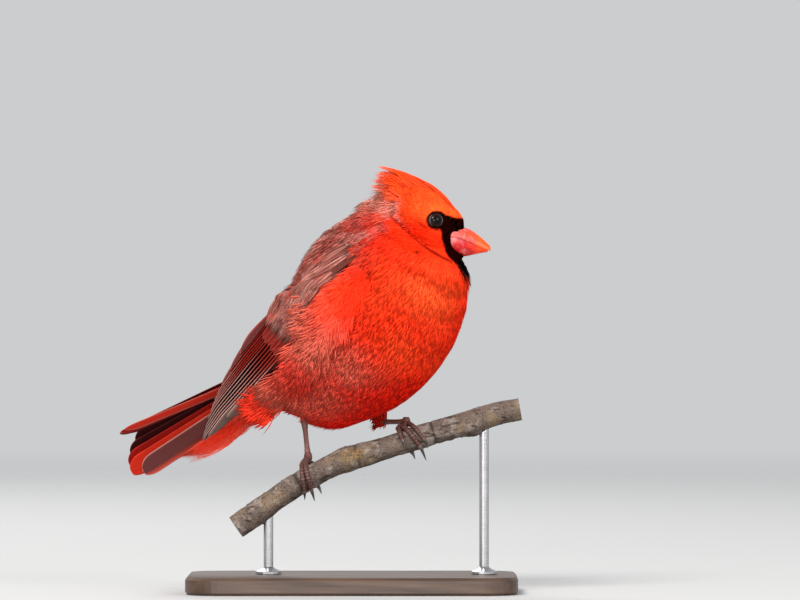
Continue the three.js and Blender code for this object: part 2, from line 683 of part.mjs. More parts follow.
const bump = (distance, at, spread) => Math.exp(-(((distance - at) / spread) ** 2));
function barkRadius(distance, angle) {
  const lower = 0.5 - 0.5 * Math.cos(angle);
  const slow = 0.16 * Math.sin(distance * 0.21 + 0.6) + 0.12 * Math.sin(2 * angle + distance * 0.13);
  const knot = 1.5 * bump(distance, perchDistance(54), 4) * lower;
  const ring = 0.45 * bump(distance, perchDistance(-3), 3.5) + 0.35 * bump(distance, perchDistance(-41), 4);
  return PERCH.radius + slow + knot + ring;
}

function perchSolid(grow = 0) {
  const count = 22;
  const list = Array.from({ length: count }, (_, i) => {
    const distance = (PERCH_LENGTH * i) / (count - 1);
    return Array.from({ length: PERCH.sides }, (_, j) => {
      const angle = (2 * Math.PI * j) / PERCH.sides;
      return perchPoint(distance, angle, barkRadius(distance, angle) + grow);
    });
  });
  const end = (distance, out) => {
    const { at, along } = perchFrame(distance);
    return at.clone().addScaledVector(along, out);
  };
  return rings(list, end(0, -0.4 - grow), end(PERCH_LENGTH, 0.4 + grow));
}

// Legs and feet. A toe is a row of [shift along the branch, angle round it in degrees].
const FEET = [
  {
    side: "right",
    hub: [-20, 1, 61.3],
    heel: [-21.8, 3.6, 78],
    thighTop: [-22, 5, 90],
    thigh: [6, 5, 3.8, 2.6, 1.7], // radii, from the belly down over the heel
    toes: [
      { name: "outer", shift: [1.0, -4.6], angle: [18, 134], radius: 1.15, claw: [0.1, 0.8, -3.6] },
      { name: "middle", shift: [2.3, -1.3], angle: [22, 140], radius: 1.3, claw: [1.5, 0.9, -5.2] },
      { name: "inner", shift: [1.8, 6.6], angle: [4, -70], radius: 1.1, claw: [0.8, 1.6, -4.2] },
      { name: "hallux", shift: [0.4, 2.2], angle: [-30, -146], radius: 1.25, claw: [1.6, -1.2, -3.4] },
    ],
  },
  {
    side: "left",
    hub: [24.6, 1.4, 77.3],
    heel: [13, 17.5, 77],
    thighTop: [10, 17, 92],
    thigh: [7.5, 6.2, 4.4, 3.4, 1.9],
    toes: [
      { name: "inner", shift: [-1.6, -1.4], angle: [18, 82], radius: 1.15, claw: [1.5, -0.5, -4.6] },
      { name: "middle", shift: [0.9, 5.4], angle: [16, 124], radius: 1.3, claw: [2.9, 0.6, -6.6] },
      { name: "outer", shift: [3.8, 8.2], angle: [6, 104], radius: 1.15, claw: [1.7, 0.3, -4.2] },
      { name: "hallux", shift: [0.2, 0.9], angle: [-30, -146], radius: 1.25, claw: [1.5, -0.8, -3.2] },
    ],
  },
];

function toePath(hub, toe) {
  const start = perchDistance(hub.x);
  const count = 6;
  const points = [];
  const radii = [];
  for (let i = 0; i < count; i++) {
    const t = i / (count - 1);
    const distance = start + toe.shift[0] + (toe.shift[1] - toe.shift[0]) * t;
    const angle = radians(toe.angle[0] + (toe.angle[1] - toe.angle[0]) * t);
    const joint = 0.12 * Math.cos(2 * Math.PI * 3 * t); // three pads along the toe
    const radius = toe.radius * (1 - 0.28 * t) + joint;
    radii.push(radius);
    points.push(perchPoint(distance, angle, barkRadius(distance, angle) + radius + GAP + 0.35));
  }
  points.unshift(hub.clone().lerp(points[0], 0.15 + 0.1 * toe.radius));
  radii.unshift(toe.radius * 1.15);
  return { points, radii };
}

function clawSolid(from, toe) {
  const reach = vec(...toe.claw);
  const points = [0, 0.5, 1].map((t) =>
    from.clone().addScaledVector(reach, t).add(vec(0, 0, 0.9 * Math.sin(Math.PI * t) * 0.5)));
  return tube(points, [0.85, 0.62, 0.2].map((r) => r * (toe.radius / 1.2)), 6);
}

function buildLeg(foot, body, perch) {
  const hub = vec(...foot.hub);
  const heel = vec(...foot.heel);
  const toes = foot.toes.map((toe) => toePath(hub, toe));
  const pad = ball(hub, 2.0, 8);
  const footWhole = join([pad, ...toes.map(({ points, radii }) => tube(points, radii, 6))]);
  const grown = join([ball(hub, 2.0 + GAP, 8), ...toes.map(({ points, radii }) =>
    tube(points, radii.map((r) => r + GAP), 6))]);
  addNode(bird, `foot_${foot.side}`, footWhole.subtract(perch), FINISH.leg);
  foot.toes.forEach((toe, i) => {
    const end = toes[i].points.at(-1);
    const before = toes[i].points.at(-2);
    const start = end.clone().addScaledVector(end.clone().sub(before).normalize(), 0.3);
    const claw = clawSolid(start, toe).subtract(grown).subtract(perch);
    addNode(bird, `claw_${foot.side}_${toe.name}`, claw, FINISH.claw);
  });
  const shin = [0, 0.12, 0.3, 0.6, 0.88, 1].map((t) => heel.clone().lerp(hub, t));
  const tarsus = tube(shin, [1.75, 1.5, 1.15, 1.1, 1.4, 1.7], 9);
  const thigh = (grow) => {
    const top = vec(...foot.thighTop);
    const points = [0, 0.35, 0.7, 1].map((t) => top.clone().lerp(heel, t));
    const below = heel.clone().addScaledVector(hub.clone().sub(heel).normalize(), 3.2);
    return tube([...points, below], foot.thigh, 12, grow);
  };
  addNode(bird, `thigh_${foot.side}`, thigh(0).subtract(body), FINISH.redPlumage);
  addNode(bird, `tarsus_${foot.side}`, tarsus.subtract(thigh(GAP)).subtract(grown).subtract(body), FINISH.leg);
}

// Stand: a flat base with rounded corners, and two rods with round feet.
function roundedPlate(length, depth, corner) {
  const shape = new THREE.Shape();
  const [x, y] = [length / 2 - corner, depth / 2 - corner];
  shape.absarc(x, y, corner, 0, Math.PI / 2, false);
  shape.absarc(-x, y, corner, Math.PI / 2, Math.PI, false);
  shape.absarc(-x, -y, corner, Math.PI, 1.5 * Math.PI, false);
  shape.absarc(x, -y, corner, 1.5 * Math.PI, 2 * Math.PI, false);
  shape.closePath();
  return shape;
}

function buildStand(perch) {
  const { length, depth, height, corner, bevel } = STAND.base;
  const plate = new THREE.ExtrudeGeometry(roundedPlate(length - 2 * bevel, depth - 2 * bevel, corner), {
    depth: height - 2 * bevel, bevelEnabled: true, bevelThickness: bevel, bevelSize: bevel, bevelSegments: 1,
    curveSegments: 4,
  });
  const base = fromGeometry(plate, new THREE.Matrix4().makeTranslation(0, 0, bevel));
  addNode(stand, "stand_base", base, FINISH.wood);
  STAND.rods.forEach((x, i) => {
    const foot = height + GAP;
    const top = perchFrame(perchDistance(x)).at.z;
    const profile = [[0, foot], [STAND.footRadius, foot], [STAND.footRadius, foot + 1.1],
      [STAND.rodRadius + 0.8, foot + STAND.footHeight], [STAND.rodRadius, foot + STAND.footHeight + 0.8],
      [STAND.rodRadius, top], [0, top]].map(([r, z]) => new THREE.Vector2(r, z));
    const turned = new THREE.LatheGeometry(profile, 16).rotateX(Math.PI / 2);
    const rod = fromGeometry(turned, new THREE.Matrix4().makeTranslation(x, 0, 0));
    addNode(stand, `stand_rod_${i === 0 ? "low" : "high"}`, rod.subtract(perch), FINISH.steel);
  });
}

function buildBody() {
  const whole = bodySolid();
  const grown = bodySolid(GAP);
  const cut = BODY_CENTRE.clone().addScaledVector(BODY_AXIS, NECK_FROM);
  const above = halfSpace(cut.clone().addScaledVector(BODY_AXIS, GAP / 2), BODY_AXIS);
  const below = halfSpace(cut.clone().addScaledVector(BODY_AXIS, -GAP / 2), BODY_AXIS.clone().negate());
  addNode(bird, "torso", whole.intersect(below), FINISH.redPlumage);
  const sockets = [-1, 1].map((side) => ball(eyeAt(side), 6));
  const face = join([skull(GAP), upperBill(GAP), lowerBill(GAP), ...sockets]);
  addNode(bird, "neck", whole.intersect(above).subtract(face), FINISH.redPlumage);
  return grown;
}

const grownBody = buildBody();
buildHead();
buildBill();
buildCrest(grownBody);
buildWing("wing_right", wingChart(WING.tip, WING.shoulder, 1, vec(0, -1, 0)), grownBody);
buildWing("wing_left", wingChart(WING.leftTip, WING.leftShoulder, -1, LEFT), grownBody);
buildTail(grownBody);
const grownPerch = perchSolid(GAP);
addNode(stand, "perch", perchSolid(), FINISH.bark);
for (const foot of FEET) buildLeg(foot, grownBody, grownPerch);
buildStand(grownPerch);

const cardinal = new THREE.Group();
cardinal.add(bird, stand);
export default cardinal;
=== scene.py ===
import math

import bpy
import numpy as np
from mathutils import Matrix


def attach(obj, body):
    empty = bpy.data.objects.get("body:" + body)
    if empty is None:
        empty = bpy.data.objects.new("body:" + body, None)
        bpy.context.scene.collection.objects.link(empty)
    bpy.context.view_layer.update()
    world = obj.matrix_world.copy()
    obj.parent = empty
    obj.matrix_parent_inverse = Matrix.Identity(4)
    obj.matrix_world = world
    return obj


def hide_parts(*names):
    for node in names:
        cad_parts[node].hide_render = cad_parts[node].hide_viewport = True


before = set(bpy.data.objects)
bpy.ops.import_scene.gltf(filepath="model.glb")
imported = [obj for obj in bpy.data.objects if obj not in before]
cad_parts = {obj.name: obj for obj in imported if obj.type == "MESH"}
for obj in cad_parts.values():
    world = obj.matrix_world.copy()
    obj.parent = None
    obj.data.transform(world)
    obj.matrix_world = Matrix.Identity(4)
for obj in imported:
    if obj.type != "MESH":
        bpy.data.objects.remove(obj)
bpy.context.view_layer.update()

mm = 0.001
chance = np.random.default_rng(57)
print("frame loaded")


def unit(v):
    # v divided by its length
    return v / np.maximum(np.linalg.norm(v, axis=-1, keepdims=True), 1e-9)


def dots(a, b):
    # sum of the products of the last axis
    return np.sum(a * b, axis=-1)


def ease(x, low, high):
    # 0 below low, 1 above high, 3t2 - 2t3 between
    t = np.clip((x - low) / (high - low), 0, 1)
    return t * t * (3 - 2 * t)


def bump(x, middle, spread):
    # exp(-((x - middle) / spread)^2)
    return np.exp(-(((x - middle) / spread) ** 2))


def smoothCurve(xs, ys):
    # monotone cubic: each inner slope is the harmonic mean of the two chords beside it
    xs, ys = np.array(xs, float), np.array(ys, float)
    step = np.diff(xs)
    rise = np.diff(ys) / step
    slope = np.concatenate([[rise[0]], np.zeros(len(xs) - 2), [rise[-1]]])
    both = rise[:-1] * rise[1:] > 0
    total = np.where(both, rise[:-1] + rise[1:], 1)
    slope[1:-1] = np.where(both, 2 * rise[:-1] * rise[1:] / total, 0)

    def at(x):
        x = np.asarray(x, float)
        i = np.clip(np.searchsorted(xs, x) - 1, 0, len(xs) - 2)
        t = np.clip((x - xs[i]) / step[i], 0, 1)
        a = 1 - t
        start = a * a * (1 + 2 * t) * ys[i] + a * a * t * step[i] * slope[i]
        return start + t * t * (3 - 2 * t) * ys[i + 1] - t * t * a * step[i] * slope[i + 1]

    return at


def tableCurves(table):
    # one smooth curve for each column after the first
    table = np.array(table, float)
    return [smoothCurve(table[:, 0], table[:, c]) for c in range(1, table.shape[1])]


noiseTurn = np.array([[0.62, 0.55, -0.56], [-0.38, 0.84, 0.40], [0.69, -0.03, 0.72]])


def patches(p, size, seed):
    # smooth noise about 0 to 1: cubic blends of random values on a turned lattice of the given size in mm
    q = p @ noiseTurn / size + 100
    cell = np.floor(q).astype(np.int64)
    f = q - cell
    f = f * f * (3 - 2 * f)
    total = np.zeros(len(p))
    for corner in range(8):
        step = np.array([corner & 1, corner >> 1 & 1, corner >> 2 & 1])
        k = cell + step
        code = (k[:, 0] * 73856093) ^ (k[:, 1] * 19349663) ^ (k[:, 2] * 83492791) ^ (seed * 2654435761)
        value = ((code * 1103515245 + 12345) >> 8 & 0xFFFF) / 65535.0
        share = np.prod(np.where(step == 1, f, 1 - f), axis=1)
        total += share * value
    return total


def linear(rgb):
    # sRGB of 0 to 255 to linear light
    c = np.array(rgb, float) / 255
    return np.where(c <= 0.04045, c / 12.92, ((c + 0.055) / 1.055) ** 2.4)


def mixed(a, b, share):
    # a + (b - a) * share, with share one number per row
    return a + (b - a) * np.asarray(share)[..., None]


bird = {
    "centre": [5.9, 4, 121.4], "yaw": 30, "pitch": 47.5,
    "stations": [
        [-63, 19, 3, 3, 4], [-59, 17, 8, 10, 10], [-55, 12, 14, 16, 15], [-49, 6, 24, 22, 21.5],
        [-40, 2.5, 31.5, 27, 27.5], [-26, 1, 36, 34, 33.5], [-10, 0, 38, 38.5, 37], [4, 0, 39.5, 40, 38.5],
        [18, 0, 39.5, 38.6, 37.5], [28, 0, 38.5, 36, 35], [38, 0, 36.5, 31, 31], [47, 3.5, 30, 29, 25],
        [53.5, 9, 19.5, 24, 18], [58, 12, 10, 14, 11],
    ],
    "coatDepth": 2.6, "softening": 7.5,
}
up = np.array([0.0, 0, 1])
heading = math.radians(bird["yaw"])
ahead = np.array([math.cos(heading), -math.sin(heading), 0])
left = np.array([math.sin(heading), math.cos(heading), 0])
rise = math.radians(bird["pitch"])
bodyAxis = ahead * math.cos(rise) + up * math.sin(rise)
bodyBack = -ahead * math.sin(rise) + up * math.cos(rise)
bodyCentre = np.array(bird["centre"], float)


def softened(curve):
    # the mean of the curve under exp(-(distance / softening)^2), so that the breast has no steps;
    # both ends are kept
    first, last = bird["stations"][0][0], bird["stations"][-1][0]
    at = np.linspace(first, last, 400)
    weight = np.exp(-(((at[:, None] - at[None]) / bird["softening"]) ** 2))
    mean = (weight * curve(at)).sum(1) / weight.sum(1)
    inner = ease(at, first + 6, first + 20) * (1 - ease(at, last - 16, last - 5))
    values = curve(at) + (mean - curve(at)) * inner
    return lambda x: np.interp(x, at, values)


bodyRise, bodyUp, bodyDown, bodyWidth = (softened(curve) for curve in tableCurves(bird["stations"]))

head = {
    "centre": [33.2, -13, 167.3], "yaw": 6, "coatDepth": 1.1,
    "stations": [
        [-17.5, 11, -4, 8], [-14, 15, -9.5, 12], [-9, 17.6, -14, 14.8], [-3, 18, -16.8, 16.4],
        [2.3, 16.7, -18.4, 16.6], [5.6, 15, -19, 15.2], [8.2, 13.2, -19.3, 12.2], [10.5, 11.4, -19.3, 8.8],
        [12.8, 9.2, -19, 6.6], [15.3, 6.6, -18.2, 5.4], [17.6, 3.2, -16.6, 4.2],
    ],
    "ridge": [[16.6, 5.2], [13, 10.2], [8, 14.6], [1.5, 18.6], [-6, 22], [-13, 24.4], [-20.5, 26]],
}
turn = math.radians(head["yaw"])
face = np.array([math.cos(turn), -math.sin(turn), 0])
headLeft = np.array([math.sin(turn), math.cos(turn), 0])
headCentre = np.array(head["centre"], float)
headTop, headBottom, headWidth = tableCurves(head["stations"])
ridgeHeight = smoothCurve([-p[0] for p in head["ridge"]], [p[1] for p in head["ridge"]])


def onBody(station, angle, grow):
    # centre + axis*s + back*(rise + depth*sin a) + left*(width*cos a)
    lift = np.sin(angle)
    depth = np.where(lift > 0, bodyUp(station), bodyDown(station)) + grow
    high = bodyRise(station) + depth * lift
    wide = (bodyWidth(station) + grow) * np.cos(angle)
    return bodyCentre + station[..., None] * bodyAxis + high[..., None] * bodyBack + wide[..., None] * left


def bodyPlace(p):
    # station along the body, angle round it (0 at its left, 90 at its back) and level (1 at the surface)
    d = p - bodyCentre
    station = dots(d, bodyAxis)
    high = dots(d, bodyBack) - bodyRise(station)
    depth = np.where(high > 0, bodyUp(station), bodyDown(station))
    a, b = high / depth, dots(d, left) / bodyWidth(station)
    return station, np.arctan2(a, b), np.hypot(a, b)


def insideBody(p, grow):
    # the ellipse test of the solids, grown
    d = p - bodyCentre
    station = dots(d, bodyAxis)
    high = dots(d, bodyBack) - bodyRise(station)
    depth = np.where(high > 0, bodyUp(station), bodyDown(station)) + grow
    within = (station > bird["stations"][0][0] - grow) & (station < bird["stations"][-1][0] + grow)
    return within & ((high / depth) ** 2 + (dots(d, left) / (bodyWidth(station) + grow)) ** 2 < 1)


def onHead(x, y, z):
    # centre + face*x + left*y + up*z
    x, y, z = np.broadcast_arrays(np.asarray(x, float), y, z)
    return headCentre + x[..., None] * face + y[..., None] * headLeft + z[..., None] * up


def headPlace(p):
    # the same three, from a point
    d = p - headCentre
    return dots(d, face), dots(d, headLeft), d[..., 2]


def headness(p):
    # 1 on the head, 0 on the body, easing over the neck: distance from the head's centre
    x, y, z = headPlace(p)
    reach = np.sqrt((x / 1.05) ** 2 + y**2 + (z / 1.15) ** 2)
    return 1 - ease(reach, 18, 25)


def eyeDistance(p):
    # how far a point is from the nearer eye's looking axis
    x, y, z = headPlace(p)
    return np.where(np.abs(y) > 4, np.hypot(x - 6.4, z - 1.3), 30.0)


def gridFaces(rows, columns, closed=True):
    # quads of a rows x columns grid of points, wrapped across the columns if closed
    i = np.arange(rows - 1)[:, None]
    j = np.arange(columns if closed else columns - 1)[None, :]
    k = (j + 1) % columns
    below, above = i * columns, (i + 1) * columns
    quads = np.stack(np.broadcast_arrays(below + j, below + k, above + k, above + j), -1)
    return quads.reshape(-1, 4)


def closedTube(grid):
    # rows of rings, with a pole at the middle of each end
    rows, columns = grid.shape[:2]
    points = np.concatenate([grid.reshape(-1, 3), grid[0].mean(0)[None], grid[-1].mean(0)[None]])
    j = np.arange(columns)
    k = (j + 1) % columns
    first, last, end = rows * columns, rows * columns + 1, (rows - 1) * columns
    caps = np.concatenate([
        np.stack([np.full(columns, first), k, j, j], -1),
        np.stack([np.full(columns, last), end + j, end + k, end + k], -1),
    ])
    return points, np.concatenate([gridFaces(rows, columns), caps])


def together(parts):
    # points and faces of several pieces as one
    points, faces, start = [], [], 0
    for p, f, *other in parts:
        points.append(p)
        faces.append(f + start)
        start += len(p)
    return np.concatenate(points), np.concatenate(faces)


def volumeOf(points, faces):
    # signed volume: positive where the faces point out
    a, b, c = points[faces[:, 0]], points[faces[:, 1]], points[faces[:, 2]]
    total = dots(a, np.cross(b, c)).sum()
    if faces.shape[1] == 4:
        d = points[faces[:, 3]]
        total += dots(a, np.cross(c, d)).sum()
    return total / 6


def paintPoints(mesh, tones):
    # a linear colour per point, with an alpha of 1
    layer = mesh.color_attributes.new(name="tone", type="FLOAT_COLOR", domain="POINT")
    whole = np.concatenate([tones, np.ones((len(tones), 1))], 1)
    layer.data.foreach_set("color", whole.astype(np.float32).ravel())


def newPiece(name, points, faces, finish, tones=None, places=None, turned=False):
    # points in mm; a quad that repeats its last corner is a triangle; tones are linear colours per point
    if not turned and volumeOf(points - points.mean(0), faces) < 0:
        faces = faces[:, ::-1]
    if faces.shape[1] == 4:
        short = (faces[:, 0] == faces[:, 1]) | (faces[:, 2] == faces[:, 3])
        sizes = np.where(short, 3, 4)
        keep = np.ones(faces.shape, bool)
        keep[faces[:, 0] == faces[:, 1], 0] = False
        keep[(faces[:, 2] == faces[:, 3]) & (faces[:, 0] != faces[:, 1]), 3] = False
        corners = faces[keep]
    else:
        sizes = np.full(len(faces), 3)
        corners = faces.ravel()
    mesh = bpy.data.meshes.new(name)
    mesh.vertices.add(len(points))
    mesh.vertices.foreach_set("co", (points * mm).astype(np.float32).ravel())
    mesh.loops.add(len(corners))
    mesh.loops.foreach_set("vertex_index", corners.astype(np.int32))
    mesh.polygons.add(len(sizes))
    mesh.polygons.foreach_set("loop_start", np.concatenate([[0], np.cumsum(sizes)[:-1]]).astype(np.int32))
    mesh.polygons.foreach_set("use_smooth", np.ones(len(sizes), bool))
    mesh.update(calc_edges=True)
    mesh.validate()
    if tones is not None:
        paintPoints(mesh, tones)
    if places is not None:
        layer = mesh.uv_layers.new(name="OFBake")
        order = np.zeros(len(mesh.loops), np.int32)
        mesh.loops.foreach_get("vertex_index", order)
        layer.data.foreach_set("uv", places[order].astype(np.float32).ravel())
    made = bpy.data.objects.new(name, mesh)
    bpy.context.scene.collection.objects.link(made)
    made.data.materials.append(finish)
    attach(made, "root")
    return made


class Wire:
    # one number or colour in a material; arithmetic on it adds Math nodes
    def __init__(self, finish, socket):
        self.finish, self.socket = finish, socket

    def calc(self, operation, first, second):
        return self.finish.node("ShaderNodeMath", {"operation": operation}, {0: first, 1: second})

    def __add__(self, other):
        return self.calc("ADD", self, other)

    def __rsub__(self, other):
        return self.calc("SUBTRACT", other, self)

    def __mul__(self, other):
        return self.calc("MULTIPLY", self, other)

    def __rmul__(self, other):
        return self.calc("MULTIPLY", other, self)


class Finish:
    # a material whose nodes are made one call at a time
    def __init__(self, name, **constants):
        self.material = bpy.data.materials.new(name)
        self.material.use_nodes = True
        self.tree = self.material.node_tree
        self.shader = self.tree.nodes["Principled BSDF"]
        for key, value in constants.items():
            self.shader.inputs[key.replace("_", " ")].default_value = value

    def node(self, kind, settings, inputs, output=0):
        # a new node with its settings and inputs, as the wire from one of its outputs
        made = self.tree.nodes.new(kind)
        for key, value in settings.items():
            if key == "stops":
                ramp = made.color_ramp
                while len(ramp.elements) < len(value):
                    ramp.elements.new(0.5)
                for element, (place, colour) in zip(ramp.elements, value):
                    element.position = place
                    element.color = (*colour, 1)
            else:
                setattr(made, key, value)
        for key, value in inputs.items():
            self.feed(made.inputs[key], value)
        return Wire(self, made.outputs[output])

    def feed(self, socket, value):
        # a link from a wire, or a constant
        if isinstance(value, Wire):
            self.tree.links.new(value.socket, socket)
        else:
            socket.default_value = value

    def place(self):
        # object coordinates
        return self.node("ShaderNodeTexCoord", {}, {}, 3)

    def noise(self, scale, detail=3.0, roughness=0.55, stretch=(1, 1, 1)):
        # noise of the object's place, stretched along its axes
        where = self.node("ShaderNodeMapping", {}, {0: self.place(), 3: stretch})
        inputs = {"Vector": where, "Scale": scale, "Detail": detail, "Roughness": roughness}
        return self.node("ShaderNodeTexNoise", {}, inputs)

    def ramp(self, factor, *stops):
        # colours at the given places of the factor
        return self.node("ShaderNodeValToRGB", {"stops": stops}, {0: factor})

    def mix(self, factor, first, second, blend="MIX"):
        # the first colour and the second by the factor
        made = self.node("ShaderNodeMix", {"data_type": "RGBA", "blend_type": blend}, {0: factor}, 2)
        inner = made.socket.node
        self.feed(inner.inputs[6], first if isinstance(first, Wire) else (*first, 1))
        self.feed(inner.inputs[7], second if isinstance(second, Wire) else (*second, 1))
        return made

    def tone(self):
        # the colour painted on the points
        return self.node("ShaderNodeAttribute", {"attribute_name": "tone"}, {})

    def bumpFrom(self, height, strength, distance):
        # a normal from a height
        inputs = {"Height": height, "Strength": strength, "Distance": distance}
        return self.node("ShaderNodeBump", {}, inputs)

    def out(self, **wires):
        # wires into the shader's inputs, and the finished material
        for key, value in wires.items():
            self.feed(self.shader.inputs[key.replace("_", " ")], value)
        return self.material


view = {"at": [21.8, -3000, 132.7], "lens": 297, "sensor": 36, "farthest": 60}
camera = bpy.data.cameras.new("photo_view")
camera.lens = view["lens"]
camera.sensor_width = view["sensor"]
camera.clip_end = view["farthest"]
viewer = bpy.data.objects.new("photo_view", camera)
viewer.location = [v * mm for v in view["at"]]
viewer.rotation_euler = (math.pi / 2, 0, 0)
bpy.context.scene.collection.objects.link(viewer)
bpy.context.scene.camera = viewer

light = {
    "target": (0, 0, 0.12), "sky": 1.0, "skyTone": (0.60, 0.61, 0.62),
    "lamps": [  # name, place in metres, width, power, tone
        ["key", (-0.9, -1.7, 1.9), 1.1, 74, (1.0, 0.98, 0.95)],
        ["fill", (1.6, -1.5, 0.9), 1.4, 34, (0.95, 0.97, 1.0)],
        ["low", (-0.1, -1.9, 0.2), 1.0, 22, (1.0, 0.98, 0.97)],
        ["rim", (-0.6, 1.5, 1.5), 1.0, 26, (1.0, 1.0, 1.0)],
    ],
}
bpy.context.scene.view_settings.view_transform = "Standard"  # the photo's plain, strong reds
world = bpy.data.worlds.new("studio")
bpy.context.scene.world = world
world.use_nodes = True
world.node_tree.nodes["Background"].inputs[0].default_value = (*light["skyTone"], 1)
world.node_tree.nodes["Background"].inputs[1].default_value = light["sky"]
for name, place, width, power, tone in light["lamps"]:
    lamp = bpy.data.lights.new(name, "AREA")
    lamp.shape = "DISK"
    lamp.size, lamp.energy, lamp.color = width, power, tone
    made = bpy.data.objects.new(name, lamp)
    made.location = place
    towards = np.array(light["target"]) - np.array(place)
    tilt = math.atan2(math.hypot(towards[0], towards[1]), -towards[2])
    made.rotation_euler = (tilt, 0, math.atan2(towards[1], towards[0]) - math.pi / 2)
    bpy.context.scene.collection.objects.link(made)

studio = {"radius": 3.4, "fadeFrom": 0.7, "fadeTo": 3.0, "tone": (0.42, 0.42, 0.417)}


def floorDisc(rings=24, columns=72):
    # rings of growing radius round the origin, at z = 0, and triangles to the middle
    r = studio["radius"] * np.linspace(0.02, 1, rings)[:, None]
    a = np.linspace(0, 2 * math.pi, columns, endpoint=False)[None, :]
    grid = np.stack(np.broadcast_arrays(r * np.cos(a), r * np.sin(a), 0 * r), -1)
    points = np.concatenate([grid.reshape(-1, 3), [[0, 0, 0]]])
    j = np.arange(columns)
    middle = np.stack([np.full(columns, rings * columns), (j + 1) % columns, j], -1)
    return points, gridFaces(rings, columns), middle


def paleFloorFinish():
    # the floor fades into the plain background with the distance from its middle
    finish = Finish("pale_floor", Roughness=0.9)
    cloud = finish.noise(0.7, 2.0)
    reach = finish.node("ShaderNodeVectorMath", {"operation": "LENGTH"}, {0: finish.place()}, "Value")
    fade = finish.node("ShaderNodeMapRange", {"interpolation_type": "SMOOTHSTEP"},
                       {0: reach, 1: studio["fadeFrom"], 2: studio["fadeTo"], 3: 1.0, 4: 0.0})
    pale = finish.ramp(cloud, (0.3, studio["tone"]), (0.7, tuple(0.98 * v for v in studio["tone"])))
    return finish.out(Base_Color=pale, Alpha=fade)


points, quads, middle = floorDisc()
mesh = bpy.data.meshes.new("studio_floor")
mesh.from_pydata(points.tolist(), [], quads[:, ::-1].tolist() + middle[:, ::-1].tolist())
floor = bpy.data.objects.new("studio_floor", mesh)
bpy.context.scene.collection.objects.link(floor)
floor.data.materials.append(paleFloorFinish())
print("camera, light and floor")


plumage = {
    "breast": (232, 34, 10), "breastBright": (250, 86, 38), "belly": (230, 24, 8), "crown": (246, 78, 30),
    "brow": (250, 96, 40), "cheek": (240, 50, 18), "nape": (206, 138, 124), "back": (132, 68, 58),
    "silver": (202, 152, 142), "flank": (198, 106, 86), "mask": (2, 1, 1), "crease": (84, 6, 4),
    "thigh": (140, 18, 8), "dusk": (120, 58, 48), "vent": (226, 58, 36),
}
ink = {name: linear(rgb) for name, rgb in plumage.items()}

# lines on the head's side: the cheek's crease and the mask's top by x, the mask's rear edge by z
creaseHeight = smoothCurve([-16, -11.8, -6.8, 0.9, 8.6, 11.8, 15], [6, 1.8, -3.6, -10, -15, -16.8, -20])
maskTop = smoothCurve([-4, 2, 7, 11.4, 15, 18, 22], [4.6, 5.0, 4.9, 3.5, 2.5, 2.6, 2.6])
maskRear = smoothCurve(
    [-24, -21, -16, -11.6, -6, -1.7, 0, 1.2, 3, 6],
    [21, 17.2, 12.0, 9.4, 8.3, 7.5, 5.8, 4.6, 4.4, 4.6],
)


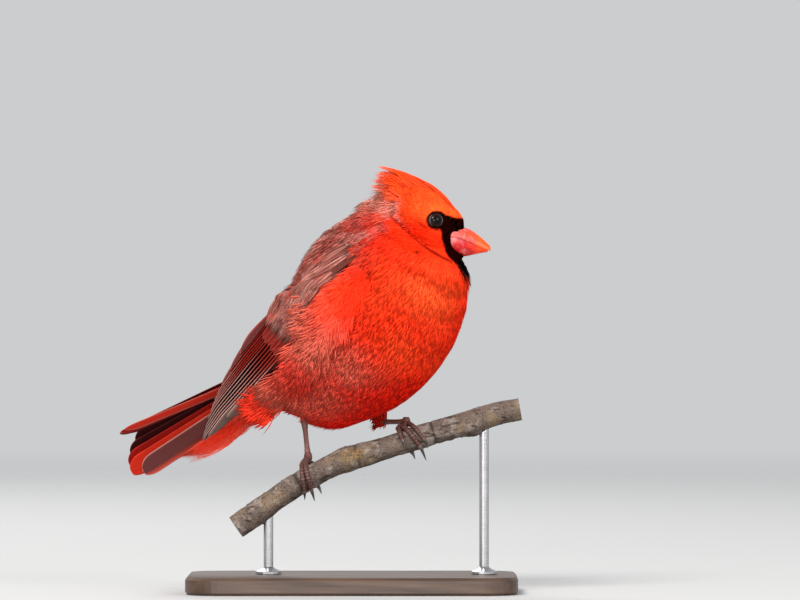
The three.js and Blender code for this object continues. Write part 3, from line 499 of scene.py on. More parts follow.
def markings(p):
    # blends of the named colours by station, angle and head place, with smooth noise for the mottling
    station, angle, level = bodyPlace(p)
    x, y, z = headPlace(p)
    onTheHead = headness(p)
    back = ease(np.sin(angle), 0.42, 0.86)
    side = bump(np.cos(angle), -0.98, 0.38) + bump(np.cos(angle), 0.98, 0.38)
    blotch = patches(p, 7.5, 3)
    small = patches(p, 2.6, 5)
    wide = patches(p, 13, 4)
    # the upper breast's front lighter and more orange: a painted highlight where the light falls, mixed with
    # mottling of its own colour
    glow = bump(p[:, 0], 34, 15) * bump(p[:, 2], 139, 14)
    glow = glow + 0.5 * bump(p[:, 0], 24, 9) * bump(p[:, 2], 118, 8)
    glow = np.clip(0.75 * glow + 0.35 * (wide + patches(p, 17, 8) - 0.8), 0, 1)
    tone = mixed(ink["breast"], ink["breastBright"], glow * ease(station, -26, 4))
    # deeper red down the belly: partly its own colour, partly painted shade on the lower body
    tone = mixed(tone, ink["belly"], ease(-station, -26, 22) * (0.6 + 0.4 * blotch))
    flankShare = 0.35 + 0.65 * ease(wide * 0.55 + blotch * 0.4 + small * 0.12, 0.30, 0.72)
    flankShare = np.maximum(flankShare, 0.85 * bump(station, -36, 7)) * np.clip(side, 0, 1)
    flankShare = flankShare * ease(station, -46, -40) * (1 - ease(station, -8, 20))
    tone = mixed(tone, ink["flank"], 0.8 * flankShare)
    tone = mixed(tone, ink["vent"], 0.85 * ease(-station, 41, 47))
    # a dusky band at the rear edge of the flank: painted shade where the flank feathers end
    tone = mixed(tone, ink["dusk"], 0.5 * bump(station, -41, 2.2) * np.clip(side, 0, 1))
    mantle = mixed(ink["back"], ink["silver"], ease(small + 0.4 * blotch, 0.5, 1.05))
    mantle = mixed(mantle, ink["cheek"], 0.35 * ease(patches(p, 4.2, 11), 0.5, 0.9))
    tone = mixed(tone, ink["flank"], wingMargin(p) * (0.35 + 0.4 * blotch))
    tone = mixed(tone, mantle, np.maximum(back * (1 - 0.5 * ease(station, 44, 56)), 0.9 * onArm(p)))
    high = ease(p[:, 2], 167, 175)
    tone = mixed(tone, ink["breast"], back * ease(station, 34, 44) * (1 - high) * (0.35 + 0.5 * small))
    tone = mixed(tone, ink["nape"], back * ease(station, 40, 54) * high * 0.75)
    neck = bump(station, 42, 9) * ease(np.sin(angle), -0.4, 0.3) * (0.5 + 0.5 * patches(p, 3, 19))
    tone = tone * (1 - 0.4 * neck)[:, None]
    # the head: orange crown and cheek, grey pink nape
    # lighter orange up the head and over the brow: partly its own colour, partly a painted highlight on the
    # lit top of the head
    headTone = mixed(ink["cheek"], ink["crown"], ease(z + 0.25 * x + 3 * small, -2, 9))
    headTone = mixed(headTone, ink["brow"], bump(z, 6.5, 3.5) * bump(x, 4, 8) * 0.8)
    headTone = mixed(headTone, ink["breast"], 0.6 * bump(x, -3, 5) * bump(z, -4, 4))
    headTone = mixed(headTone, ink["nape"], ease(-x - 0.1 * z + 2 * small, 9.5, 13.0) * 0.85 * high)
    dusky = 0.5 * ease(-x, 10, 14) * ease(patches(p * [1, 1, 1.8], 1.9, 15), 0.5, 0.8)
    headTone = mixed(headTone, ink["dusk"], dusky)
    tone = mixed(tone, headTone, onTheHead)
    sides = onTheHead * ease(np.abs(y), 3, 7)
    gap = z - creaseHeight(x)
    # the cheek's crease: a painted highlight along its upper lip, then a painted shadow in the crease
    tone = mixed(tone, ink["silver"], 0.6 * bump(gap, 1.2, 0.7) * bump(x, -11, 3) * sides)
    tone = mixed(tone, ink["crease"], bump(gap, -0.3, 0.75) * ease(x, -13, -10.5) * sides)
    streak = bump(z + 0.55 * (x - 1.6) + 1.8, 0, 0.8) * bump(x, 0.2, 2.6)
    tone = mixed(tone, ink["crease"], 0.75 * streak * sides)
    spot = bump(np.hypot(x + 1.8, z + 13.2), 0, 1.1)
    tone = mixed(tone, ink["crease"], 0.85 * spot * ease(-y, 3, 8))
    # dark red round the far heel: painted shade where the far leg meets the belly
    farHeel = np.linalg.norm(p - np.array(thighs["left"]["heel"], float), axis=1)
    tone = mixed(tone, ink["thigh"], 0.8 * (1 - ease(farHeel, 7, 12)))
    tone = mixed(tone, ink["mask"], maskShare(p))
    return tone * (0.94 + 0.12 * patches(p, 1.1, 9))[:, None]


def maskShare(p):
    # 1 in the black mask: before a line from the eye down to the chin, under one from the brow to the
    # bill, and in a rim round the eye
    x, y, z = headPlace(p)
    ragged = 0.8 * (patches(p, 1.3, 21) - 0.5)
    before = ease(x - maskRear(z) + ragged, -0.4, 0.6)
    under = ease(maskTop(x) - z + 0.6 * ragged, -0.35, 0.45)
    rim = (1 - ease(eyeDistance(p), 4.1, 4.8)) * (np.abs(y) > 4)
    return np.maximum(before * under * ease(z + 0.35 * (x - 16), -21.5, -19) * ease(x, 0.5, 1.6), rim)


print("markings ready")


skinShape = {"voxel": 0.9, "shrink": bird["coatDepth"], "headShrink": head["coatDepth"]}


def bodyLoft(grow, rows=90, columns=96):
    # rings at eased stations from vent to crown, each two half ellipses
    t = np.linspace(0, 1, rows)
    first, last = bird["stations"][0][0], bird["stations"][-1][0]
    station = first + (last - first) * (0.55 * t + 0.45 * (0.5 - 0.5 * np.cos(np.pi * t)))
    angle = np.linspace(0, 2 * math.pi, columns, endpoint=False)
    return closedTube(onBody(*np.broadcast_arrays(station[:, None], angle[None, :]), grow))


def headLoft(table, rows, columns, grow):
    # rings along the head: width*cos a across and half height*sin a up
    top, bottom, width = tableCurves(table)
    x = np.linspace(table[0][0], table[-1][0], rows)[:, None]
    a = np.linspace(0, 2 * math.pi, columns, endpoint=False)[None, :]
    middle, half = (top(x) + bottom(x)) / 2, (top(x) - bottom(x)) / 2 + grow
    across, high = (width(x) + grow) * np.cos(a), middle + half * np.sin(a)
    return closedTube(onHead(*np.broadcast_arrays(x, across, high)))


def crownRidge(rows=30, columns=24):
    # the low ridge under the crest: ellipses 9.2 mm high whose middles run 7 mm under the ridge line
    x = np.linspace(15.5, -11, rows)[:, None]
    a = np.linspace(0, 2 * math.pi, columns, endpoint=False)[None, :]
    width = 6.8 * np.sqrt(np.clip(1 - ((x - 2) / 15.5) ** 2, 0.02, 1))
    high = ridgeHeight(-x) - 7 + 4.6 * np.sin(a)
    return closedTube(onHead(*np.broadcast_arrays(x, width * np.cos(a), high)))


wings = {
    "right": {"tip": [-66.9, -30.5, 67.7], "shoulder": [2, -39.8, 132.7], "inward": 1, "outward": [0, -1, 0]},
    "left": {"tip": [-72, 15, 90], "shoulder": [2, 35, 138], "inward": -1, "outward": left},
    "clearance": 2.2, "slant": 0.22,
}
stackShare = smoothCurve([0, 8, 26, 50, 80], [0.42, 0.6, 0.84, 1, 1.02])


def fromBird(x, y, height):
    # ahead and left of the body's middle, at a true height
    return np.array([bodyCentre[0], bodyCentre[1], height]) + ahead * x + left * y


def wingAxes(wing):
    # a runs from the tip to the shoulder, b up over the back, d in towards the middle
    start = fromBird(*wing["tip"])
    toShoulder = unit(fromBird(*wing["shoulder"]) - start)
    across = -0.2 * ahead + 0.92 * wing["inward"] * left + 0.34 * up
    inner = unit(across - dots(across, toShoulder) * toShoulder)
    return start, toShoulder, inner, unit(np.cross(toShoulder, inner) * wing["inward"])


def wingSag(a):
    # the leading edge sags a little in its middle
    return -1.9 * np.sin(np.pi * np.clip((a - 17) / 80, 0, 1))


def onWing(wing, a, b, d):
    # start + a + b, moved out until it clears the body, then in by d
    start, toShoulder, inner, over = wingAxes(wing)
    a, b, d = np.broadcast_arrays(np.asarray(a, float), b, d)
    p = start + a[..., None] * toShoulder + b[..., None] * over
    gap = wings["clearance"]
    outward = np.array(wing["outward"], float)
    low, high = np.zeros(p.shape[:-1]), np.full(p.shape[:-1], 40.0)
    for _ in range(14):  # halve the range that holds the least clear distance
        middle = (low + high) / 2
        inside = insideBody(p + middle[..., None] * outward, gap)
        low, high = np.where(inside, middle, low), np.where(inside, high, middle)
    free = ~insideBody(p, gap)
    p = p + np.where(free, 0, high)[..., None] * outward
    return p + d[..., None] * inner


def wingPlace(wing, p):
    # a, b and d of a point, without the lift
    start, toShoulder, inner, over = wingAxes(wing)
    q = p - start
    a = dots(q, toShoulder)
    return a, dots(q, over) - wingSag(a), dots(q, inner)


def overWing(wing, a, b, out):
    # out millimetres off the folded wing's face, which runs into the body before the shoulder and over
    # the back
    lower = np.maximum(b, 0)
    p = onWing(wing, a, wingSag(a) + b, wings["slant"] * lower - out)
    station, angle, level = bodyPlace(p)
    onto = onBody(np.clip(station, -60, 57), angle, np.broadcast_to(out, station.shape))
    late = 8 * (1 - ease(a, 76, 90))
    share = 1 - (1 - ease(a, 88, 112)) * (1 - ease(b, 12 + late, 23 + late))
    return mixed(p, onto, np.broadcast_to(share, station.shape))


def armLoft(wing, rows=60, columns=28):
    # the folded arm: ellipses that slant back as they rise, sinking into the body before the shoulder
    high, deep = tableCurves([  # a, half height, half depth
        [57, 5.0, 0.8], [63, 6.4, 1.4], [72, 7.2, 2.2], [84, 7.8, 3.0], [95, 8.2, 3.4], [108, 7.6, 3.0],
        [118, 5.5, 2.0],
    ])
    a = np.linspace(57, 119, rows)[:, None]
    turn = np.linspace(0, 2 * math.pi, columns, endpoint=False)[None, :]
    b = 7.4 + high(a) * np.cos(turn)
    inner = -deep(a) * (1.4 + np.sin(turn)) - 0.9 - 2.2 * ease(a, 90, 114)
    return closedTube(overWing(wing, *np.broadcast_arrays(a, b, inner)))


# b of the flank's upper edge by a, and of the highest roots whose tips reach that edge
flankEdge = smoothCurve(
    [20, 33, 43, 55, 62, 71, 78, 83, 91, 112, 128, 140],
    [-2, -2.4, -2.4, -4.4, -3, 0.5, 4, 6.6, 7.7, 6, -1, -6],
)
flankRoots = smoothCurve([20, 33, 45, 58, 70, 78, 86, 95, 128], [-7, -6, -4.6, -4.2, -2, 0.5, 4.5, 6.5, -2])


def onEither(p, near):
    # the larger share of the two wings, by the point's a, b and d on each
    return np.maximum(*(near(*wingPlace(wings[name], p)) for name in ("right", "left")))


def onArm(p):
    # 1 over the grey shoulder feathers of either wing: above the flank's edge
    def near(a, b, d):
        along = ease(a, 52, 62) * (1 - ease(a, 122, 136))
        return along * ease(b - flankEdge(a), -2, 2) * (1 - ease(d, 26, 36))
    return onEither(p, near)


def wingMargin(p):
    # 1 just below the flank's edge, fading over a few millimetres on either side
    def near(a, b, d):
        along = bump(b - flankEdge(a), -3, 4.5) * ease(a, 62, 80) * (1 - ease(a, 112, 130))
        return along * (1 - ease(d, 26, 36))
    return onEither(p, near)


def underVanes(p):
    # 1 where flight feathers and coverts lie over the body, so that no tuft grows there
    def near(a, b, d):
        top = 16.5 - 0.06 * np.maximum(a - 50, 0)
        return ((a > 4) & (a < 82) & (b > -1.0) & (b < top) & (d < 26)) * 1.0
    return onEither(p, near)


thighs = {
    "right": {"top": [-22, 5, 90], "heel": [-21.8, 3.6, 78], "hub": [-20, 1, 61.3],
              "radii": [6, 5, 3.8, 2.6, 1.7]},
    "left": {"top": [10, 17, 92], "heel": [13, 17.5, 77], "hub": [24.6, 1.4, 77.3],
             "radii": [7.5, 6.2, 4.4, 3.4, 1.9]},
}


def tubeAlong(path, radii, columns):
    # circles of the given radii across the path, turned with it
    path, radii = np.asarray(path, float), np.asarray(radii, float)
    along = unit(np.gradient(path, axis=0))
    flat = np.where(np.abs(along[:, 1:2]) > 0.9, np.array([[1.0, 0, 0]]), np.array([[0, 1.0, 0]]))
    u = unit(np.cross(flat, along))
    v = np.cross(along, u)
    a = np.linspace(0, 2 * math.pi, columns, endpoint=False)[None, :, None]
    ring = u[:, None] * np.cos(a) + v[:, None] * np.sin(a)
    return closedTube(path[:, None] + radii[:, None, None] * ring)


def thighTube(leg, shrink):
    # from the belly to the heel and a little down the shank
    top, heel, hub = (np.array(leg[k], float) for k in ("top", "heel", "hub"))
    below = heel + unit(hub - heel) * 3.2
    keys = np.array([top + (heel - top) * t for t in (0, 0.35, 0.7, 1)] + [below])
    t, s = np.linspace(0, 4, 24), np.arange(5)
    path = np.stack([smoothCurve(s, keys[:, c])(t) for c in range(3)], -1)
    return tubeAlong(path, np.maximum(smoothCurve(s, leg["radii"])(t) - shrink, 0.9), 20)


def skinFinish():
    # the painted colour, a little darker in fine spots, with no shine
    finish = Finish("skin_under_the_coat", Roughness=0.9, Specular_IOR_Level=0.0)
    fine = finish.noise(900, 3.0)
    colour = finish.mix(0.15 * fine, finish.tone(), (0.10, 0.01, 0.005))
    return finish.out(Base_Color=colour, Normal=finish.bumpFrom(fine, 0.5, 0.0006))


def buildSkin():
    # body, head and thighs lofts, merged by a voxel remesh and smoothed into one surface
    shrink = skinShape["shrink"]
    parts = [bodyLoft(-shrink), headLoft(head["stations"], 60, 64, -skinShape["headShrink"]), crownRidge()]
    parts += [thighTube(leg, 1.0) for leg in thighs.values()]
    parts += [armLoft(wings["right"]), armLoft(wings["left"])]
    points, faces = together(parts)
    skin = newPiece("skin", points, faces, skinFinish())
    remesh = skin.modifiers.new("merge", "REMESH")
    remesh.mode, remesh.voxel_size, remesh.use_smooth_shade = "VOXEL", skinShape["voxel"] * mm, True
    soften = skin.modifiers.new("soften", "SMOOTH")
    soften.factor, soften.iterations = 0.5, 6
    graph = bpy.context.evaluated_depsgraph_get()
    baked = bpy.data.meshes.new_from_object(skin.evaluated_get(graph))
    skin.modifiers.clear()
    skin.data = baked
    baked.name = "skin"
    places = meshArrays(skin)[0]
    paintPoints(baked, markings(places))
    if not baked.materials:
        baked.materials.append(skinFinish())
    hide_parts("torso", "neck", "head", "thigh_right", "thigh_left")
    return skin


def meshArrays(made):
    # points in mm, triangles and point normals of a mesh piece
    mesh = made.data
    points = np.zeros(len(mesh.vertices) * 3, np.float32)
    mesh.vertices.foreach_get("co", points)
    normals = np.zeros(len(mesh.vertices) * 3, np.float32)
    mesh.vertices.foreach_get("normal", normals)
    mesh.calc_loop_triangles()
    triangles = np.zeros(len(mesh.loop_triangles) * 3, np.int32)
    mesh.loop_triangles.foreach_get("vertices", triangles)
    places = points.reshape(-1, 3).astype(float) / mm
    return places, triangles.reshape(-1, 3), normals.reshape(-1, 3).astype(float)


skin = buildSkin()
skinPoints, skinTriangles, skinNormals = meshArrays(skin)
print("skin", len(skinTriangles), "triangles")


def profileTable(low, high, radius):
    # stations, the mean radius at each, and the length of the profile up to it
    at = np.linspace(low, high, 300)
    size = radius(at)
    return at, size, np.concatenate([[0], np.cumsum(np.hypot(np.diff(at), np.diff(size)))])


bodyProfile = profileTable(-62.5, 57.5, lambda s: (bodyUp(s) + bodyDown(s) + 2 * bodyWidth(s)) / 4)
headProfile = profileTable(-17, 17, lambda x: (headTop(x) - headBottom(x) + 2 * headWidth(x)) / 4)


def profileCell(p, spacing):
    # one number per cell: rows along the profile, columns round it, each of the given spacing
    station, angle, level = bodyPlace(p)
    x, y, z = headPlace(p)
    around = np.arctan2(z - (headTop(x) + headBottom(x)) / 2, y)
    cells = []
    for at, turn, (stations, radius, reach) in ((station, angle, bodyProfile), (x, around, headProfile)):
        row = np.floor(np.interp(at, stations, reach) / spacing)
        size = np.interp((row + 0.5) * spacing, reach, radius)
        cells.append((row * 20011 + np.floor((turn + math.pi) * size / spacing)).astype(np.int64))
    return np.where(headness(p) > 0.5, cells[1] + 10**9, cells[0])


def steadyNormals(p, normals):
    # the slope of the body's or head's own ellipses, where it agrees with the merged mesh's normals
    slope = []
    for step in np.eye(3) * 0.5:
        sides = []
        for q in (p + step, p - step):
            x, y, z = headPlace(q)
            middle, half = (headTop(x) + headBottom(x)) / 2, (headTop(x) - headBottom(x)) / 2
            onTheHead = np.hypot((z - middle) / half, y / headWidth(x))
            sides.append(np.where(headness(p) > 0.5, onTheHead, bodyPlace(q)[2]))
        slope.append(sides[0] - sides[1])
    own = unit(np.stack(slope, -1))
    return unit(mixed(normals, own, ease(dots(own, normals), 0.82, 0.93)))


def scatter(spacing, wanted):
    # even places on the skin: many random points, one kept in each cell of the given spacing
    corners = skinPoints[skinTriangles]
    square = np.cross(corners[:, 1] - corners[:, 0], corners[:, 2] - corners[:, 0])
    area = np.linalg.norm(square, axis=1) / 2 * wanted(corners.mean(1))
    count = int(area.sum() / spacing**2 * 3.5) + 1
    pick = np.searchsorted(np.cumsum(area) / area.sum(), chance.random(count))
    u, v = chance.random(count), chance.random(count)
    over = u + v > 1
    u, v = np.where(over, 1 - u, u), np.where(over, 1 - v, v)
    w = 1 - u - v
    share = np.stack([w, u, v], -1)[..., None]
    places = (corners[pick] * share).sum(1)
    normals = unit((skinNormals[skinTriangles[pick]] * share).sum(1))
    _, first = np.unique(profileCell(places, spacing), return_index=True)
    return places[first], steadyNormals(places[first], normals[first])


towardsTail = np.array([-0.96, 0.17, -0.18])  # how the rear tufts lie


def lieOf(p, normal):
    # feathers run from the head down the body to the tail, and back and up over the crown
    x, y, z = headPlace(p)
    share = headness(p)[:, None]
    slope = np.interp(z, [-20, -10, 0, 8, 16], [-1.1, -0.75, -0.25, 0.28, 0.5])
    overHead = -face + slope[:, None] * up + 0.12 * np.sign(y)[:, None] * headLeft * (x > 4)[:, None]
    station, angle, level = bodyPlace(p)
    rear = ease(-station, 26, 50)[:, None]
    overBody = (-bodyAxis - 0.22 * up * (np.sin(angle) < 0.3)[:, None]) * (1 - rear) + rear * towardsTail
    for name in ("right", "left"):
        a, b, d = wingPlace(wings[name], p)
        arm = (ease(a, 40, 60) * ease(b, -6, 2) * (1 - ease(b, 18, 26)) * (1 - ease(d, 10, 18)))[:, None]
        back, over = -wingAxes(wings[name])[1], wingAxes(wings[name])[3]
        overBody = overBody * (1 - arm) + (back + 0.22 * over) * arm
    flow = unit(overHead * share + overBody * (1 - share))
    outwards = dots(flow, normal)[:, None]
    loose = rear * (1 - share) + share * (ease(-x, 7, 10) * ease(z, 12, 16))[:, None]
    flat = np.where(outwards > 0, 1 - 0.8 * loose, 1)
    return unit(flow - flat * outwards * normal)


def unwrapped(p):
    # the skin's own unwrap: body station by angle in the lower part, head station by angle above it
    station, angle, level = bodyPlace(p)
    x, y, z = headPlace(p)
    middle = (headTop(x) + headBottom(x)) / 2
    onTheHead = headness(p) > 0.5
    turns, headTurns = angle / (2 * math.pi), np.arctan2(z - middle, y) / (2 * math.pi)
    body = np.stack([0.01 + 0.97 * (turns + 0.5), 0.01 + 0.62 * (station + 66) / 130], -1)
    crown = np.stack([0.01 + 0.97 * (headTurns + 0.5), 0.66 + 0.32 * (x + 22) / 44], -1)
    return np.clip(np.where(onTheHead[:, None], crown, body), 0.004, 0.996)


def barbs(root, lie, normal, length, width, lift, curl, sway):
    # three-sided spikes: root + lie*L*t + across*sway*t^2 + normal*(lift*t*(2-t) - curl*L^2*t^2),
    # flat and tapering
    across = unit(np.cross(normal, lie))
    rings = []
    for t, fat in ((0.0, 0.75), (0.52, 1.0)):
        middle = root + lie * (length * t)[:, None] + across * (sway * t * t)[:, None]
        middle = middle + normal * (lift * t * (2 - t) - curl * length**2 * t * t)[:, None]
        half = (width * fat / 2)[:, None]
        rings += [middle - across * half, middle + across * half, middle + normal * half * 0.55]
    tip = root + lie * length[:, None] + across * sway[:, None]
    tip = tip + normal * (lift - curl * length**2)[:, None]
    points = np.stack(rings + [tip], 1)
    template = np.array([
        [0, 1, 4], [0, 4, 3], [1, 2, 5], [1, 5, 4], [2, 0, 3],
        [2, 3, 5], [3, 4, 6], [4, 5, 6], [5, 3, 6], [0, 2, 1],
    ])
    faces = (template[None] + 7 * np.arange(len(root))[:, None, None]).reshape(-1, 3)
    return points, faces


def liftShare(p):
    # the coat stands higher over the upper back and lies flatter at the rear end
    station, angle, level = bodyPlace(p)
    high = 1.5 * bump(station, 22, 17) * ease(np.sin(angle), 0.4, 0.85) * (1 - headness(p))
    return (1 + high) * (1 - 0.7 * ease(-station, 34, 48))


def tuftBarbs(places, normals, look):
    # every tuft is a small feather: its barbs leave the shaft to both sides and curve back along the lie
    n, m = len(places), look["barbs"]
    lie = lieOf(places, normals)
    across = unit(np.cross(normals, lie))
    fan = np.linspace(-1, 1, m)[None] + chance.normal(0, 0.16, (n, m))
    swing = np.radians(look["fan"]) * fan + chance.normal(0, math.radians(look["messy"]), (n, 1))
    way = lie[:, None] * np.cos(swing)[..., None] + across[:, None] * np.sin(swing)[..., None]
    root = places[:, None] + lie[:, None] * (look["shaft"] * (chance.random((n, m)) - 0.5))[..., None]
    root = root + across[:, None] * (look["spread"] * fan)[..., None] - normals[:, None] * 0.35
    size = look["size"](places)[:, None] * chance.uniform(0.8, 1.2, (n, m))
    length = look["length"] * size
    lift = look["lift"] * size * chance.uniform(0.8, 1.15, (n, m)) * liftShare(places)[:, None]
    width = look["width"] * chance.uniform(0.8, 1.25, (n, m))
    return barbs(
        root.reshape(-1, 3), way.reshape(-1, 3), np.repeat(normals, m, 0), length.ravel(), width.ravel(),
        lift.ravel(), np.full(n * m, look["curl"]), (-0.18 * fan * length).ravel(),
    )


def withinOne(tones):
    # scaled down where the strongest channel is over 1, so that the hue stays
    return tones / np.maximum(1, tones.max(-1, keepdims=True))


def coatTones(places, points, look, m):
    # the marking at each tuft's root, or in a fine coat at each point, lighter or darker tuft by tuft and
    # barb by barb; painted shade darkens the roots and painted light makes the tips a little lighter
    n = len(places)
    if look.get("fine"):
        base = markings(points).reshape(n * m, 7, 3)
    else:
        base = np.repeat(markings(places), m, 0)[:, None]
    base = base * np.repeat(chance.uniform(0.93, 1.07, (n, 1, 1)), m, 0)
    base = base * chance.uniform(0.93, 1.07, (n * m, 1, 1))
    shade = np.array([0.94, 0.94, 0.94, 1.0, 1.0, 1.0, 1.06])[None, :, None]
    return withinOne(base * shade).reshape(-1, 3)


def plumageFinish(name, roughness, shine=0.06):
    # the painted colour with darker specks, and a faint glow of the same colour as painted light
    finish = Finish(name, Roughness=roughness, Specular_IOR_Level=shine, Emission_Strength=0.07)
    speckle = finish.noise(1400, 2.0)
    colour = finish.mix(0.22 * speckle, finish.tone(), (0.30, 0.05, 0.03), "MULTIPLY")
    return finish.out(Base_Color=colour, Emission_Color=colour)  # painted light: a faint glow of the colour stands in for light passing through the barbs and lifts their shade


def legShare(p):
    # 1 at either heel, 0 twelve millimetres off
    near = [np.linalg.norm(p - np.array(leg["heel"], float), axis=1) for leg in thighs.values()]
    return 1 - ease(np.minimum(*near), 6, 12)


def fullSize(p):
    # 1 everywhere
    return np.ones(len(p))


def bodySize(p):
    # smaller at the heels and over the rear end
    return (1 - 0.66 * legShare(p)) * (1 - 0.35 * ease(-bodyPlace(p)[0], 36, 50))


def headSize(p):
    # smaller towards the bill, and smaller again round the eye
    return (0.42 + 0.58 * ease(-headPlace(p)[0], -11, 2)) * (0.35 + 0.65 * ease(eyeDistance(p), 3.2, 7))


coat = {
    "flank": {"spacing": 1.75, "barbs": 10, "fan": 26, "messy": 10, "shaft": 3.4, "spread": 1.1,
              "length": 10.0, "lift": 1.9, "width": 0.55, "curl": 0.008, "size": fullSize},
    "body": {"spacing": 1.42, "barbs": 10, "fan": 24, "messy": 6, "shaft": 3.4, "spread": 1.0,
             "length": 8.8, "lift": 1.9, "width": 0.66, "curl": 0.0095, "size": bodySize},
    "head": {"spacing": 0.86, "barbs": 6, "fan": 20, "messy": 6, "shaft": 1.4, "spread": 0.5,
             "length": 4.4, "lift": 1.05, "width": 0.40, "curl": 0.022, "size": headSize, "fine": True},
    "nape": {"spacing": 1.25, "barbs": 8, "fan": 26, "messy": 12, "shaft": 2.4, "spread": 0.8,
             "length": 8.4, "lift": 4.4, "width": 0.42, "curl": 0.02, "size": fullSize},
}


def growCoat(name, look, places, normals, finish, slotName, pieces=1):
    # tufts at the given places, in as many pieces as asked for, from the tail end up
    order = np.argsort(unwrapped(places)[:, 1])
    m = look["barbs"]
    for i, part in enumerate(np.array_split(order, pieces)):
        points, faces = tuftBarbs(places[part], normals[part], look)
        tones = coatTones(places[part], points.reshape(-1, 3), look, m)
        across = np.tile(np.array([-0.5, 0.5, 0, -0.3, 0.3, 0, 0])[None], (len(part) * m, 1))
        along = np.tile(np.array([0, 0, 0, 0.5, 0.5, 0.5, 1.0])[None], (len(part) * m, 1))
        own = np.stack([across, along - 0.5], -1).reshape(-1, 2) * 0.003
        patch = np.repeat(unwrapped(places[part]), m * 7, 0) + own
        newPiece(f"{name}_{i + 1}", points.reshape(-1, 3), faces, finish, tones, patch, turned=True)
    print(name, len(places), "tufts,", len(places) * m * 10, "triangles")


def onSkin(look, wanted):
    # places and normals over the skin where wanted
    places, normals = scatter(look["spacing"], wanted)
    keep = wanted(places) > 0.5
    return places[keep], normals[keep]


def onFlank(wing, look):
    # places over the folded wing's leading edge, up to the flank's edge, and the way out from it
    n = int(92 * 17 / look["spacing"] ** 2)
    a = chance.uniform(30, 116, n)
    b = -15 + (flankRoots(a) + 15) * chance.random(n)
    out = 0.5 - 2.4 * (1 - ease(b, -15, -7))
    places = overWing(wing, a, b, out)
    normals = unit(overWing(wing, a, b, out + 1) - places)
    return places, normals


def onHeadOnly(p):
    # 1 on the head, but not on the eye or where the crest leaves the crown
    x, y, z = headPlace(p)
    return (headness(p) > 0.5) * (eyeDistance(p) > 3.3) * ((x > -10) | (z < 14.5)) * 1.0


def onBodyOnly(p):
    # 1 on the body, but not under the wings' vanes, at the right heel or on the rear cap
    nearHeel = np.linalg.norm(p - np.array(thighs["right"]["heel"], float), axis=1)
    return (headness(p) <= 0.5) * (1 - underVanes(p)) * (nearHeel > 6.5) * (bodyPlace(p)[0] > -50)


def onNape(p):
    # the back of the head and the top of the neck, under the crest
    x, y, z = headPlace(p)
    return (x < -9) * (x > -24) * (z > 0) * (z < 17) * (np.abs(y) < 11) * 1.0


bodyLook, headLook = plumageFinish("body_feathers", 0.85), plumageFinish("head_feathers", 0.9, 0.0)
growCoat("coat_body", coat["body"], *onSkin(coat["body"], onBodyOnly), bodyLook, "body_plumage", 6)
growCoat("coat_head", coat["head"], *onSkin(coat["head"], onHeadOnly), headLook, "head_plumage", 2)
growCoat("coat_nape", coat["nape"], *onSkin(coat["nape"], onNape), headLook, "head_plumage")


def vaneRings(path, side, normal, fore, behind, thickness, camber):
    # rings across the feather: side*(v*width) + normal*camber*(1 - v^2), with a shaft swelling at v = 0,
    # then the underside
    v = np.array([-1, -0.86, -0.7, -0.4, -0.14, -0.05, 0, 0.05, 0.14, 0.4, 0.72, 1.0])
    width = np.where(v[None] < 0, fore[:, None], behind[:, None]) * v[None]
    arch = camber * (1 - v**2)[None] + 0 * width
    shaft = 0.28 * bump(v, 0, 0.07)[None] * np.linspace(1.0, 0.3, len(path))[:, None]
    edge = (1 - 0.75 * v**6)[None]
    topSide = arch + shaft + thickness / 2 * edge
    lowSide = arch - 0.6 * shaft - thickness / 2 * edge
    middle = path[:, None] + side[:, None] * width[..., None]
    upper = middle + normal[:, None] * topSide[..., None]
    lower = (middle + normal[:, None] * lowSide[..., None])[:, ::-1]
    across = np.concatenate([np.broadcast_to(v, width.shape), np.broadcast_to(v[::-1], width.shape)], 1)
    return np.concatenate([upper, lower], 1), across


def vaneOutline(t, rootShare, roundFrom, point=0.02):
    # full width over most of the length, narrower at the root, an ellipse's quarter at the tip
    grow = rootShare + (1 - rootShare) * np.clip(t / 0.3, 0, 1)
    u = np.clip((t - roundFrom) / (1 - roundFrom), 0, 1)
    return grow * np.sqrt(np.maximum(point**2, 1 - (1 - point**2) * u * u))


def withPoles(values):
    # a grid's values as rows, then the means of its first and last ring for the two poles
    own = values.reshape(-1, values.shape[-1])
    return np.concatenate([own, values[:1].mean(1), values[-1:].mean(1)])


def vanePart(path, side, normal, fore, behind, thickness, camber, paint, cell):
    # one closed feather with its colours, barb lines and patch of the bake map
    rings, v = vaneRings(path, side, normal, fore, behind, thickness, camber)
    points, faces = closedTube(rings)
    rows, columns = v.shape
    t = np.broadcast_to(np.linspace(0, 1, rows)[:, None], v.shape)
    length = np.linalg.norm(np.diff(path, axis=0), axis=1).sum()
    top = np.broadcast_to(np.arange(columns)[None] < columns // 2, v.shape)
    tones = paint(t, v, top)
    reach = np.where(v < 0, np.asarray(fore)[:, None], np.asarray(behind)[:, None]) * np.abs(v)
    phase = t * length - reach * 1.1  # barbs leave the shaft forwards
    u0, v0, du, dv = cell
    over = np.where(top, v * 0.25 + 0.25, v * 0.25 + 0.75)
    place = np.stack([u0 + du * (0.03 + 0.94 * over), v0 + dv * (0.02 + 0.96 * t)], -1)
    return points, faces, withPoles(tones), withPoles(phase[..., None])[:, 0], withPoles(place)


def feathered(name, parts, finish, slot, *nodes):
    # several feathers as one piece
    points, faces = together(parts)
    made = newPiece(name, points, faces, finish, np.concatenate([p[2] for p in parts]),
                    np.concatenate([p[4] for p in parts]), turned=True)
    layer = made.data.attributes.new(name="barb", type="FLOAT", domain="POINT")
    layer.data.foreach_set("value", np.concatenate([p[3] for p in parts]).astype(np.float32))
    if nodes:
        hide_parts(*nodes)
    return made


def turnedOut(part):
    # the same feather with its faces pointing out
    points, faces, *rest = part
    if volumeOf(points - points.mean(0), faces) < 0:
        faces = faces[:, ::-1]
    return (points, faces, *rest)


